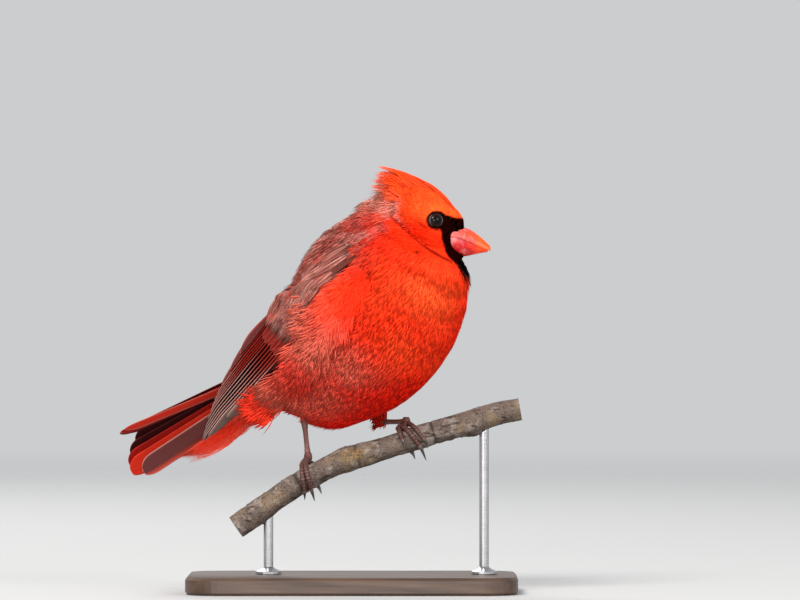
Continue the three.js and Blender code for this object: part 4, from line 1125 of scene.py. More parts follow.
def vaneFinish(name, roughness, shine=0.2):
    # barb lines run off the shaft, and a finer noise breaks them up
    finish = Finish(name, Roughness=roughness, Specular_IOR_Level=shine)
    phase = finish.node("ShaderNodeAttribute", {"attribute_name": "barb"}, {}, 2)
    wave = phase * 13.0 + finish.noise(700, 2.0) * 3.0
    lines = finish.node("ShaderNodeMath", {"operation": "SINE"}, {0: wave}) * 0.5 + 0.5
    colour = finish.mix(0.30 * lines, finish.tone(), (0.45, 0.32, 0.30), "MULTIPLY")
    return finish.out(Base_Color=colour, Normal=finish.bumpFrom(lines, 0.35, 0.0001))


def ribbons(path, side, normal, width):
    # path (n, rows, 3); three-sided strips with a point at the end, width per row
    rows = path.shape[1]
    half = (width / 2)[..., None]
    body = np.stack([path - side * half, path + side * half, path + normal * half * 0.5], 2)[:, : rows - 1]
    points = np.concatenate([body.reshape(len(path), -1, 3), path[:, -1:]], 1)
    ring = np.arange(rows - 2)[:, None, None] * 3
    wall = np.array([[0, 1, 4], [0, 4, 3], [1, 2, 5], [1, 5, 4], [2, 0, 3], [2, 3, 5]])[None]
    last, tip = 3 * (rows - 2), 3 * (rows - 1)
    ends = np.array([[last, last + 1, tip], [last + 1, last + 2, tip], [last + 2, last, tip], [0, 2, 1]])
    one = np.concatenate([(wall + ring).reshape(-1, 3), ends])
    faces = (one[None] + points.shape[1] * np.arange(len(path))[:, None, None]).reshape(-1, 3)
    return points.reshape(-1, 3), faces, points.shape[1]


def plumes(name, path, normal, width, tone, tipTone, finish):
    # loose barbs in feathers: path (feathers, barbs, rows, 3); tones run from a root darkened with painted
    # shade to the tip's own colour
    n, m, rows = path.shape[:3]
    path, normal = path.reshape(n * m, rows, 3), normal.reshape(n * m, rows, 3)
    along = unit(np.gradient(path, axis=1))
    side = unit(np.cross(along, normal))
    t = np.linspace(0, 1, rows)[None]
    thick = np.maximum(width * (0.6 + 0.4 * np.minimum(1, 4 * t)) * (1 - t**2.4), 0.08)
    points, faces, each = ribbons(path, side, np.cross(side, along), np.broadcast_to(thick, path.shape[:2]))
    ring = np.concatenate([np.repeat(t[0, :-1], 3), [1.0]])
    tones = tone.reshape(n * m, 1, 3) + np.zeros((1, each, 1))
    tones = mixed(tones, tipTone.reshape(-1, 1, 3), ease(ring, 0.6, 1.0)[None])
    # darker towards the root: painted shade where the barbs lie under others
    tones = tones * (0.55 + 0.45 * ease(ring, 0, 0.3))[None, :, None]
    tones = np.clip((tones * chance.uniform(0.84, 1.16, (n * m, 1, 1))).reshape(-1, 3), 0, 1)
    own = np.stack([np.append(np.tile([-0.5, 0.5, 0.0], rows - 1), 0.0), ring - 0.5], -1) * 0.003
    patch = np.repeat(unwrapped(path[:, 0]), each, 0) + np.tile(own, (n * m, 1))
    print(name, len(faces), "triangles")
    return newPiece(name, points, faces, finish, tones, patch, turned=True)


flight = {
    "thickness": 0.26, "camber": 0.45,
    # level up the stack and depth: the first feather's, and the step to the next
    "primaries": {"tips": [17, 3.2, 0, 0.6, 2.2, 5.5, 9.5], "tilts": [-58, -38, -26, -21, -17, -14, -12],
                  "root": 76, "level": (0, 1.55), "depth": (0, 0.45), "width": 8.6},
    "secondaries": {"tips": [13, 15.5, 18.5, 21.5], "tilts": [-12, -10, -8, -6],
                    "root": 78, "level": (10.4, 0.95), "depth": (3.0, 0.6), "width": 8.4},
    "tertials": {"tips": [26, 34, 43], "tilts": [20, 24, 28],
                 "root": 80, "level": (13.9, 0.9), "depth": (4.6, 1.2), "width": 8.2},
    "coverts": [  # how many, a, first b, its step, length, half width, lift, redness
        [7, 80, 0.2, 2.1, 23, 1.6, 0.8, 0.8], [6, 90, 0.8, 2.5, 20, 1.9, 1.3, 0.3],
    ],
    "edge": (190, 140, 130), "edgeRed": (170, 40, 30), "web": (20, 7, 7), "grey": (112, 88, 80),
    "warm": (70, 18, 15), "tipEdge": (150, 122, 116), "covert": (92, 36, 30), "covertEdge": (150, 76, 64),
    "covertRed": (150, 34, 26),
}
flightInk = {k: linear(v) for k, v in flight.items() if isinstance(v, tuple)}


def flightTable():
    # tip, root, level up the stack, depth, tilt, width and kind of every flight feather, lowest first
    rows = []
    for kind in ("primaries", "secondaries", "tertials"):
        group = flight[kind]
        for i, (tip, tilt) in enumerate(zip(group["tips"], group["tilts"])):
            level, depth = (group[k][0] + group[k][1] * i for k in ("level", "depth"))
            rows.append([tip, group["root"], level, depth, tilt, group["width"], kind])
    return rows


def paintFlight(kind, index):
    # a red base greys towards the tip; a narrow pale rim runs down the leading edge, and the rest of the
    # web is dark: its dusky colour deepened to near black by painted shade between the stacked feathers
    def paint(t, v, top):
        rim = mixed(flightInk["edgeRed"], flightInk["edge"], ease(t, 0.30, 0.62))
        rim = mixed(rim, flightInk["tipEdge"], ease(t, 0.8, 1.0))
        web = mixed(flightInk["warm"], flightInk["web"], ease(t, 0.2, 0.5))
        web = mixed(web, flightInk["grey"], 0.25 * ease(t, 0.8, 1.0))
        share = 1 - ease(v, -0.90, -0.76)
        if index < 2:
            web = mixed(web, flightInk["grey"], ease(t, 0.5, 0.8))
        if kind == "secondaries":
            rim = mixed(flightInk["edgeRed"], flightInk["edge"], ease(t, 0.55, 0.95) * 0.8)
            web = mixed(flightInk["warm"], flightInk["web"], ease(t, 0.3, 0.8))
        if kind == "tertials":
            rim = mixed(flightInk["edgeRed"], flightInk["edge"], ease(t, 0.6, 1.0) * 0.35)
            web = flightInk["warm"] * 1.6 + 0 * t[..., None]
            share = ease(np.abs(v), 0.66, 0.9)
        share = np.maximum(share, 0.6 * ease(t, 0.965, 1.0))
        tone = mixed(web, rim, share)
        # the underside a darker copy of the top: painted shade
        return np.where(top[..., None], tone, tone * 0.8)
    return paint


def flightFeather(wing, row, index):
    # centre line at level*stackShare(a) up and depth*stackShare(a) in, from root to tip; side tilted by
    # the row's angle
    tip, root, level, depth, tilt, width, kind = row
    start, toShoulder, inner, over = wingAxes(wing)
    t = np.linspace(0, 1, 34)
    a = root + (tip - root) * t
    path = onWing(wing, a, wingSag(a) + level * stackShare(a), depth * stackShare(a))
    angle = math.radians(tilt)
    side = inner * math.cos(angle) + over * math.sin(angle)
    normal = unit(np.cross(side, toShoulder)) * wing["inward"]
    size = width * vaneOutline(t, 0.5, 0.72) * (1 - 0.18 * t)
    if kind == "tertials":
        size = size * (0.25 + 0.75 * ease(t, 0.05, 0.85))
    rows = np.ones((34, 1))
    place = (0.02 + 0.068 * index, 0.02, 0.064, 0.6)
    return turnedOut(vanePart(path, side * rows, normal * rows, 0.17 * size, 0.83 * size, flight["thickness"],
                              flight["camber"], paintFlight(kind, index), place))


def paintCovert(index, redness):
    # brown, redder towards the tip, with pale rims and a dark shaft
    def paint(t, v, top):
        own = flightInk["covert"] * (0.85 + 0.3 * (index * 0.37 % 1))
        body = mixed(own, flightInk["covertRed"], redness * ease(t, 0.3, 1))
        rim = ease(np.abs(v), 0.6, 1.0) * 0.7
        tone = mixed(body, flightInk["covertEdge"], np.maximum(rim, 0.6 * ease(t, 0.9, 1)))
        shaftLine = bump(v, 0, 0.1) * 0.35
        tone = mixed(tone, flightInk["covert"] * 0.45, shaftLine)
        # the underside a darker copy of the top: painted shade
        return np.where(top[..., None], tone, tone * 0.7)
    return paint


def covertFeather(wing, a, b, length, half, lift, redness, index, cell):
    # lies down the wing from (a, b), its faces outwards along the wing's slant
    start, toShoulder, inner, over = wingAxes(wing)
    t = np.linspace(0, 1, 18)
    lean = math.atan(wings["slant"])
    side = over * math.cos(lean) + inner * math.sin(lean)
    normal = unit(np.cross(side, toShoulder)) * wing["inward"]
    station = a - length * t
    high = b * (1 - 0.06 * t) + 0.25 * np.sin(3.1 * t + index)
    depth = wings["slant"] * high + 1.3 * (1 - t) ** 3 - lift * np.sin(np.pi * 0.5 * t)
    path = onWing(wing, station, wingSag(station) + high, depth)
    size = half * vaneOutline(t, 0.7, 0.55)
    rows = np.ones((18, 1))
    paint = paintCovert(index, redness)
    return turnedOut(vanePart(path, side * rows, normal * rows, size, size, 0.2, 0.55, paint, cell))


def buildWingFeathers(name, wing):
    # the flight feathers and two tiers of coverts as one piece
    parts = [flightFeather(wing, row, i) for i, row in enumerate(flightTable())]
    cell = 0
    for count, a, first, step, length, half, lift, redness in flight["coverts"]:
        for i in range(count):
            place = (0.02 + 0.047 * cell, 0.66, 0.043, 0.3)
            root = (a - 0.5 * (i % 2), first + step * i)
            parts.append(covertFeather(wing, *root, length - 0.3 * i, half, lift, redness, i, place))
            cell += 1
    look = vaneFinish(name + "_vanes", 0.65, 0.1)
    feathered(name, parts, look, "wing_feathers", "wing_" + name.split("_")[1])


plume = {
    "shoulder": {"count": 360, "barbs": 9, "half": 1.5, "width": 0.42, "length": (13, 20), "rise": -0.10,
                 "off": 1.5},
    "dark": (96, 46, 40), "mid": (160, 92, 80), "pale": (212, 160, 148), "red": (196, 60, 44),
}
plumeInk = {k: linear(v) for k, v in plume.items() if isinstance(v, tuple)}


def wingPlumes(wing, look, tipA, tipB):
    # feathers over the folded wing: a falls by the length and b rises by rise*length; they lie off the
    # face after the first half
    n, m = len(tipA), look["barbs"]
    t = np.linspace(0, 1, 6)
    length = chance.uniform(*look["length"], (n, 1, 1))
    fan = (np.linspace(-1, 1, m)[None] + chance.normal(0, 0.12, (n, m)))[..., None]
    reach = t * (1 - 0.16 * fan**2 + chance.normal(0, 0.04, (n, m, 1)))
    a = tipA[:, None, None] + length * (1 - reach)
    b = tipB[:, None, None] - look["rise"] * length * (1 - reach)
    b = b + look["half"] * fan * np.sin(np.pi * (0.12 + 0.78 * t))
    out = -0.8 + (look["off"] + 0.8) * ease(t, 0, 0.5) + chance.uniform(0, 0.7, (n, 1, 1))
    out = out + chance.normal(0, 0.12, (n, m, 1))
    out = out + 4.5 * bump(a, 99, 13) * ease(b, 11, 19)
    a, b, out = np.broadcast_arrays(a, b, out)
    path = overWing(wing, a, b, out)
    return path, unit(overWing(wing, a, b, out + 1) - path), fan


def shoulderPlumes(name, wing):
    # the grey, silver-edged feathers that hide the wing's upper part
    look = plume["shoulder"]
    n = look["count"]
    tipA = 64.5 + 34 * chance.random(n) ** 1.1
    low = np.maximum(flankEdge(tipA) - 1, 2.5)
    top = 16.5 + 10 * ease(tipA, 72, 92)
    tipB = low + (top - low) * chance.random(n)
    path, normal, fan = wingPlumes(wing, look, tipA, tipB)
    pick = chance.random((n, 1))
    base = mixed(plumeInk["dark"] + np.zeros((n, 1, 3)), plumeInk["mid"], ease(pick, 0.1, 0.8))
    base = mixed(base, plumeInk["red"], 0.6 * (chance.random((n, 1)) < 0.16))
    silvery = 0.65 * ease(np.abs(fan[..., 0]), 0.5, 1.0) * ease(pick, 0.2, 0.9)
    tone = mixed(base + 0 * fan, plumeInk["pale"], silvery)
    tipTone = mixed(tone, plumeInk["pale"], np.full(tone.shape[:2], 0.45))
    plumes(name, path, normal, look["width"], tone, tipTone, shoulderLook)


shoulderLook, flankLook = plumageFinish("shoulder_feathers", 0.8), plumageFinish("flank_feathers", 0.85)
for sideName in ("right", "left"):
    buildWingFeathers("feathers_" + sideName, wings[sideName])
    shoulderPlumes("plumes_shoulder_" + sideName, wings[sideName])
    flankPlaces = onFlank(wings[sideName], coat["flank"])
    growCoat("coat_flank_" + sideName, coat["flank"], *flankPlaces, flankLook, "body_plumage")
print("wings")


tail = {
    "root": [-14.5, 17, 112.6], "yaw": 10, "pitch": 25, "roll": 29, "half": 6.2,
    # degrees off the middle and lengths, from the middle feather out
    "rightFan": 10.2, "leftFan": [0.7, 2.6, 4.4, 6.0, 7.5, 8.9],
    "right": [92, 95, 98, 99.5, 98, 95], "left": [93, 98, 103, 106, 107, 102],
    "red": (160, 20, 12), "bright": (214, 46, 26), "dark": (44, 3, 3), "mauve": (104, 56, 54),
    "pale": (226, 148, 136), "margin": (208, 72, 56),
}
tailInk = {k: linear(v) for k, v in tail.items() if isinstance(v, tuple)}


def tailAxes():
    # back along the tail, across it to the bird's left, and up from its upper side, rolled
    fall, roll, swing = (math.radians(tail[k]) for k in ("pitch", "roll", "yaw"))
    back = np.array([-math.cos(fall) * math.cos(swing), math.cos(fall) * math.sin(swing), -math.sin(fall)])
    level = np.array([math.sin(swing), math.cos(swing), 0])
    above = unit(np.cross(level, back))
    above = above * np.sign(above[2])
    wide = level * math.cos(roll) - above * math.sin(roll)
    return back, wide, above * math.cos(roll) + level * math.sin(roll)


tailBack, tailWide, tailUp = tailAxes()


def onTail(t, w, n):
    # root + back*t + wide*w + up*n
    t, w, n = (v[..., None] for v in np.broadcast_arrays(np.asarray(t, float), w, n))
    return np.array(tail["root"]) + t * tailBack + w * tailWide + n * tailUp


def tailArch(w):
    # each half slopes down from the middle, the right one less: slope * (sqrt(w^2 + 9) - 3)
    return np.where(w < 0, -0.32, -0.42) * (np.sqrt(w * w + 9) - 3)


def paintTail(side, k):
    # red above; below, the middle feathers are dark with painted shadow of the groove between the tail's
    # halves, the outer ones red, and the outermost left one dusky with pale rims
    red, bright = tailInk["red"], tailInk["bright"]
    # below, the three middle feathers on each side painted near black and the next one on each side a darker
    # red: painted shadow in the groove between the halves
    outer = [red * 0.7, bright * 0.8, tailInk["mauve"]] if side > 0 else [red * 0.5, red, bright]
    under = ([tailInk["dark"]] * 3 + outer)[k]

    def paint(t, v, top):
        outward = v * side  # 1 at the outer edge, on either half
        upper = mixed(tailInk["bright"], tailInk["red"], 0.6 * (1 - ease(outward, -0.4, 0.5)) + 0 * t)
        # the right half's outer feathers paler towards their edge above: painted light on their shaded upper
        # side
        if side < 0 and k > 3:
            upper = mixed(upper, tailInk["margin"], ease(outward, 0.2, 0.8))
        outerShare, paleShare = (0.95, 0.9) if k == 5 else (0.25, 0.04)
        margin = tailInk["margin" if k > 3 else "red"]
        below = mixed(under, margin, ease(outward, 0.3, 0.6) * outerShare + 0 * t)
        below = mixed(below, tailInk["pale"], paleShare * ease(-outward, 0.88, 0.97) * ease(t, 0.1, 0.4))
        below = mixed(below, tailInk["pale"], 0.5 * paleShare * ease(outward, 0.9, 1.0))
        tone = np.where(top[..., None], upper, below)
        return mixed(tone, tailInk["pale"], 0.9 * ease(t + 0.03 * v**2, 0.95, 1.0))
    return paint


def rectrix(side, k):
    # spreads by its share of the fan, each a little under the one nearer the middle; rows crowd at the tip
    t = np.sin(np.linspace(0, math.pi / 2, 44))
    fan = math.radians(tail["rightFan"] * (k + 0.35) / 5.35 if side < 0 else tail["leftFan"][k])
    reach = t * (tail["right"] if side < 0 else tail["left"])[k]
    w = side * (1.2 + 0.25 * k + reach * math.sin(fan))
    n = tailArch(w) - 0.35 - k * (0.95 - 0.05 * k) - (0.4 if side > 0 else 0)
    slope = (tailArch(w + 0.5) - tailArch(w - 0.5))[:, None]
    across = unit(tailWide + slope * tailUp)
    normal = unit(np.cross(across, tailBack))
    normal = normal * np.sign(dots(normal, tailUp))[:, None]
    size = tail["half"] * vaneOutline(t, 0.4, 0.93, 0.25)
    outer, inner = 0.62 * size, 1.2 * size
    fore, behind = (inner, outer) if side > 0 else (outer, inner)
    column = k + (6 if side > 0 else 0)
    cell = (0.02 + 0.08 * column, 0.02, 0.076, 0.6)
    camber = 0.25 * (1 - 0.1 * k)
    part = vanePart(onTail(reach, w, n), across, normal, fore, behind, 0.3, camber, paintTail(side, k), cell)
    return turnedOut(part)


def paintTailCovert(tone, tipTone):
    # paler towards the tip and the rims
    def paint(t, v, top):
        share = ease(t, 0.4, 1.0) * 0.8 + 0.2 * ease(np.abs(v), 0.5, 1)
        return mixed(linear(tone) + 0 * t[..., None], linear(tipTone), share)
    return paint


def tailCovert(w, n, length, half, droop, paint, cell):
    # a short feather over or under the tail's root, w off the middle and n off the fan
    t = np.linspace(0, 1, 16)
    wide = w * (1 + 0.3 * t)
    path = onTail(length * t, wide, n + tailArch(wide) + droop * t)
    size = half * vaneOutline(t, 0.8, 0.5)
    rows = np.ones((16, 1))
    return turnedOut(vanePart(path, tailWide * rows, tailUp * rows, size, size, 0.3, 0.6, paint, cell))


tailCoverts = [  # how many, spread, level, length, more in the middle, half width, droop, map place, tones
    [7, 5.6, -6.3, 42, 7, 2.7, 2.2, 0.02, (214, 70, 50), (236, 120, 100)],
    [6, 5.2, 3.2, 25, 6, 2.6, -2.2, 0.5, (138, 64, 54), (176, 92, 80)],
]
tailParts = [rectrix(side, k) for side in (-1, 1) for k in range(6)]
for count, reach, level, long, longer, half, droop, u, tone, tipTone in tailCoverts:
    for i, w in enumerate(np.linspace(-reach, reach, count)):
        cell = (u + 0.06 * i, 0.66, 0.055, 0.3)
        length = long + longer * math.cos(w / 5)
        n = level + math.copysign(0.25 * (i % 2), level)
        tailParts.append(tailCovert(w, n, length, half, droop, paintTailCovert(tone, tipTone), cell))


def tailStem():
    # the fleshy root of the tail, as thick as in the solids less the coat
    keys = np.array([onTail(a, 0, b) for a, b in ((-14, -1), (-4, -1.2), (8, -1.8), (16, -2.2), (22, -2))])
    points, faces = tubeAlong(keys, [6.2, 7.4, 6.4, 4, 1.6], 20)
    tones = np.tile(linear((190, 50, 34)), (len(points), 1))
    return turnedOut((points, faces, tones, np.zeros(len(points)), np.tile([[0.9, 0.9]], (len(points), 1))))


tailParts.append(tailStem())
feathered("feathers_tail", tailParts, vaneFinish("tail_vanes", 0.7, 0.06), "tail_feathers", "tail")


def underTail(count=520, barbs=9):
    # loose plumes along the underside, round the outermost left feather's edge and the middle, a little
    # under the fan
    t = np.linspace(0, 1, 6)
    fan = (np.linspace(-1, 1, barbs)[None] + chance.normal(0, 0.12, (count, barbs)))[..., None]
    start = chance.uniform(2, 58, (count, 1, 1))
    length = chance.uniform(22, 29, (count, 1, 1))
    lane = chance.uniform(-12, 7, (count, 1, 1))
    lane = np.maximum(lane, -12 + 13.5 * ease(start + length, 46, 60))
    reach = start + length * t * (1 - 0.15 * fan**2)
    outermost = 2.45 + reach * math.sin(math.radians(tail["leftFan"][5]))
    w = outermost + lane * (1 - 0.15 * ease(reach, 50, 76)) + 1.9 * fan * np.sin(np.pi * (0.1 + 0.8 * t))
    hang = 3.0 + 4.4 * ease(reach, 34, 62) - 1.6 * ease(reach, 72, 88)
    n = tailArch(w) - hang - chance.uniform(0, 1.2, (count, 1, 1)) + 0.06 * np.maximum(-lane, 0)
    path = onTail(reach, w, n)
    pick = chance.random((count, 1))
    paler = 0.6 * ease(pick + 0.05 * lane[:, 0], 0.4, 1.1)
    tone = mixed(linear((226, 50, 30)) + np.zeros((count, 1, 3)), linear((236, 120, 98)), paler) + 0 * fan
    tipTone = mixed(tone, linear((236, 92, 66)), np.full(tone.shape[:2], 0.4))
    normal = np.broadcast_to(-tailUp, path.shape)
    plumes("plumes_undertail", path, normal, 0.5, tone, tipTone, flankLook)


underTail()
print("tail")


crest = {
    "count": 950, "width": 0.7, "rows": 8, "root": (15.0, -9.0), "across": 7.0, "clumps": 5,
    "fringe": [[-23.0, 26.3], [-24.2, 22.6], [-25.6, 20.0], [-26.6, 17.4], [-20, 15.2]],
    "red": (226, 44, 20), "orange": (248, 84, 34), "pale": (238, 170, 156),
}


def crestFeathers():
    # each lies along the crown's ridge from its root, then runs out to a place on the fringe behind the head
    n = crest["count"]
    f = chance.random(n)
    clump = (np.floor(f * crest["clumps"]) + 0.5) / crest["clumps"]
    f = clump + (f - clump) * chance.uniform(0.1, 0.7, n)
    edge = np.array(crest["fringe"])
    at = np.clip(f * len(edge) - 0.5, 0, len(edge) - 1)
    tipX = np.interp(at, np.arange(len(edge)), edge[:, 0])
    tipX = tipX * (1 - 2.2 * np.abs(f - clump) - 0.08 * chance.random(n) ** 2)
    tipZ = np.interp(at, np.arange(len(edge)), edge[:, 1])
    front, rear = crest["root"]
    rootX = rear + (front - rear) * chance.random(n) ** 1.2 * (1 - 0.75 * f)
    spread = chance.uniform(-1, 1, n)
    rootY = spread * crest["across"] * (1 - 0.35 * ease(rootX, 4, 15))
    share = 1 - ease(rootX, -4, 17) * chance.uniform(0.25, 0.7, n) - 0.12 * chance.random(n)
    share = np.clip(share, 0.2, 1)
    rootZ = ridgeHeight(-rootX) - 2.2 - 0.06 * rootY**2 - 6.5 * f
    endX = rootX + (tipX - rootX) * share
    lineZ = ridgeHeight(-endX) - (26 - tipZ) * 0.75 * share
    endZ = np.minimum(np.where(share > 0.93, tipZ, lineZ), ridgeHeight(-endX) + 0.2) - 0.6 * np.abs(spread)
    endY = rootY * (0.95 - 0.55 * share) + chance.normal(0, 0.25, n)
    t = np.linspace(0, 1, crest["rows"])[None]
    x = rootX[:, None] + (endX - rootX)[:, None] * t
    y = rootY[:, None] + (endY - rootY)[:, None] * t
    drop = (0.055 * y**2) + 6.0 * f[:, None] * (1 - t) ** 1.5
    onRidge = ridgeHeight(-x) - drop - 2.2 * (1 - t) ** 3 - (26 - tipZ)[:, None] * 0.75 * t**1.6
    z = onRidge + (endZ - onRidge[:, -1])[:, None] * t**1.7
    straight = rootZ[:, None] + (endZ - rootZ)[:, None] * t
    z = z + (straight - z) * ease(f, 0.15, 0.6)[:, None]
    z = z + chance.normal(0, 0.22, (n, 1)) * t - 0.15
    path = onHead(x, y, z)
    along = unit(np.gradient(path, axis=1))
    side = unit(np.cross(along, up + 0.25 * np.sign(rootY)[:, None, None] * headLeft))
    normal = np.cross(side, along)
    width = crest["width"] * chance.uniform(0.7, 1.3, (n, 1)) * (1 - t**2.4)
    width = width * (0.6 + 0.4 * np.minimum(1, 4 * t))
    points, faces, each = ribbons(path, side, normal, np.maximum(width, 0.1))
    tone = mixed(linear(crest["orange"]) + np.zeros((n, 3)), linear(crest["red"]), chance.random(n) * 0.8)
    ring = np.concatenate([np.repeat(t[0, :-1], 3), [1.0]])
    tones = tone[:, None] * chance.uniform(0.8, 1.2, (n, 1, 1)) + np.zeros((n, each, 3))
    paler = np.tile(0.65 * ease(ring, 0.72, 1.0), (n, 1)) * ease(share, 0.75, 1)[:, None]
    tones = mixed(tones, linear(crest["pale"]), paler)
    # darker towards the roots: painted shade under the crest
    tones = tones * (0.78 + 0.22 * ease(ring, 0.0, 0.35))[None, :, None]
    rootPlace = np.repeat(unwrapped(path[:, 0]), each, 0)
    own = np.stack([np.append(np.tile([-0.5, 0.5, 0.0], crest["rows"] - 1), 0.0), ring - 0.5], -1) * 0.003
    return points, faces, np.clip(tones.reshape(-1, 3), 0, 1), rootPlace + np.tile(own, (n, 1))


points, faces, tones, patch = crestFeathers()
crestLook = plumageFinish("crest_feathers", 0.7)
made = newPiece("crest_feathers", points, faces, crestLook, tones, patch)
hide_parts("crest")
print("crest", len(faces), "triangles")


bill = {
    # station, top, bottom, half width
    "upper": [
        [11.0, 0.4, -6.2, 5.6], [12.5, -0.9, -6.4, 6.1], [15.6, -1.5, -6.6, 6.1], [19.6, -2.4, -8.0, 5.3],
        [23.6, -4.9, -9.9, 4.0], [27, -7.7, -11.4, 2.6], [29.6, -10.3, -12.2, 1.2],
    ],
    "lower": [
        [10.4, -6.4, -12.4, 5.7], [13.6, -6.5, -14.2, 6.1], [17.2, -7.1, -14.9, 5.5], [21.5, -9.0, -14.2, 4.1],
        [25.2, -10.8, -13.4, 2.5], [28.4, -12.2, -12.9, 1.0],
    ],
    "pink": (194, 78, 70), "orange": (232, 74, 10), "rosy": (200, 56, 38), "patch": (196, 104, 106),
    "deep": (170, 18, 22), "lowTip": (236, 66, 16), "streak": (240, 186, 176), "gape": (150, 40, 34),
    "nostril": (90, 30, 30),
}


def billHalf(table, upper, rows=44, columns=40):
    # D-shaped rings: the rounded half is an ellipse to the top or bottom, the other half nearly flat at
    # the biting edge
    top, bottom, width = tableCurves(table)
    x = np.linspace(table[0][0], table[-1][0], rows)[:, None]
    a = np.linspace(0, 2 * math.pi, columns, endpoint=False)[None, :]
    edgeAt = bottom(x) if upper else top(x)
    outer = top(x) - bottom(x)
    sign = 1 if upper else -1
    lift = np.sin(a)
    high = np.where(lift > 0, outer * np.abs(lift) ** 0.9, -0.10 * outer * np.abs(lift))
    keel = 1 - 0.10 * bump(lift, 1, 0.3)
    across = width(x) * np.cos(a) * (1 - 0.12 * np.maximum(lift, 0) ** 2) * keel
    z = edgeAt + sign * high
    if upper:
        hole = bump(x, 15.2, 1.1) * bump(lift, 0.52, 0.16)
        across = across * (1 - 0.16 * hole)
    grid = onHead(*np.broadcast_arrays(x, across, z))
    points, faces = closedTube(grid)
    t = np.broadcast_to((x - table[0][0]) / (table[-1][0] - table[0][0]), grid.shape[:2])
    rounded = np.broadcast_to(np.maximum(lift, 0), grid.shape[:2])
    flat = grid.reshape(-1, 3)
    streak = (patches(flat * np.array([0.35, 1, 1]), 0.9, 31) - 0.5).reshape(t.shape)
    tone = linear(bill["pink" if upper else "patch"]) + 0 * t[..., None]
    if upper:
        tone = mixed(tone, linear(bill["rosy"]), ease(t + 0.4 * streak, 0.18, 0.5))
        tone = mixed(tone, linear(bill["orange"]), ease(t + 0.3 * streak, 0.45, 0.85))
        tone = mixed(tone, linear(bill["gape"]), 0.55 * bump(rounded, 0.0, 0.12) * (1 - ease(t, 0.5, 0.8)))
        # the nostril painted dark: painted shade in its small hole
        nostril = np.broadcast_to(bump(x, 15.2, 0.9) * bump(lift, 0.52, 0.13), t.shape)
        tone = mixed(tone, linear(bill["nostril"]), 0.8 * nostril)
    else:
        tone = mixed(tone, linear(bill["deep"]), ease(t * 1.9 + 0.9 * rounded + 0.6 * streak, 0.45, 0.8))
        tone = mixed(tone, linear(bill["lowTip"]), ease(t + 0.3 * streak, 0.5, 0.95))
    scuff = ease(patches(flat * np.array([0.5, 1.3, 1.3]), 0.7, 33), 0.62, 0.9).reshape(t.shape)
    tone = mixed(tone, linear(bill["streak"]), 0.28 * scuff * (1 - ease(t, 0.35, 0.75)))
    tone = tone * (1 + 0.35 * streak[..., None])
    tones = np.concatenate([tone.reshape(-1, 3), tone[:1].mean(1), tone[-1:].mean(1)])
    return points, faces, np.clip(tones, 0, 1)


def billFinish(name):
    # the painted colour, with a grain along the bill
    finish = Finish(name, Specular_IOR_Level=0.35)
    grain = finish.noise(500, 4.0, 0.6, (0.4, 1, 1))
    normal = finish.bumpFrom(grain, 0.25, 0.0003)
    return finish.out(Base_Color=finish.tone(), Roughness=grain * 0.25 + 0.26, Normal=normal)


for half in ("upper", "lower"):
    points, faces, tones = billHalf(bill[half], half == "upper")
    hornName = "bill_" + half + "_horn"
    made = newPiece(hornName, points, faces, billFinish(hornName), tones)
    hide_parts("bill_" + half)
print("bill")


eyes = {
    "at": [5.4, 12.0, 1.2], "radius": 3.75, "look": [4.2, 9, 0.6], "ring": 3.05, "tube": 0.40,
    "iris": (30, 12, 8), "pupil": (3, 3, 4), "lid": (22, 18, 20), "rim": (128, 118, 122),
}


def eyeAxes(side):
    # middle of the eye and the way it looks, with two axes across
    at = onHead(eyes["at"][0], side * eyes["at"][1], eyes["at"][2])
    out = unit(face * eyes["look"][0] + headLeft * side * eyes["look"][1] + up * eyes["look"][2])
    across = unit(np.cross(up, out))
    return at, out, across, np.cross(out, across)


def eyeBall(side, rows=40, columns=48):
    # a sphere about its own looking axis, with the pupil and iris coloured by the angle from it
    at, out, across, above = eyeAxes(side)
    a = np.linspace(0.02, math.pi - 0.02, rows)[:, None]
    b = np.linspace(0, 2 * math.pi, columns, endpoint=False)[None, :]
    ring = np.cos(b)[..., None] * across + np.sin(b)[..., None] * above
    grid = at + eyes["radius"] * (np.cos(a)[..., None] * out + np.sin(a)[..., None] * ring)
    points, faces = closedTube(grid)
    t = np.degrees(np.broadcast_to(a, grid.shape[:2])).reshape(-1)
    t = np.concatenate([t, [0.0, 180.0]])
    inIris = ease(t, 26, 30) * (1 - ease(t, 46, 52))
    return points, faces, mixed(linear(eyes["pupil"]) + np.zeros((len(t), 3)), linear(eyes["iris"]), inIris)


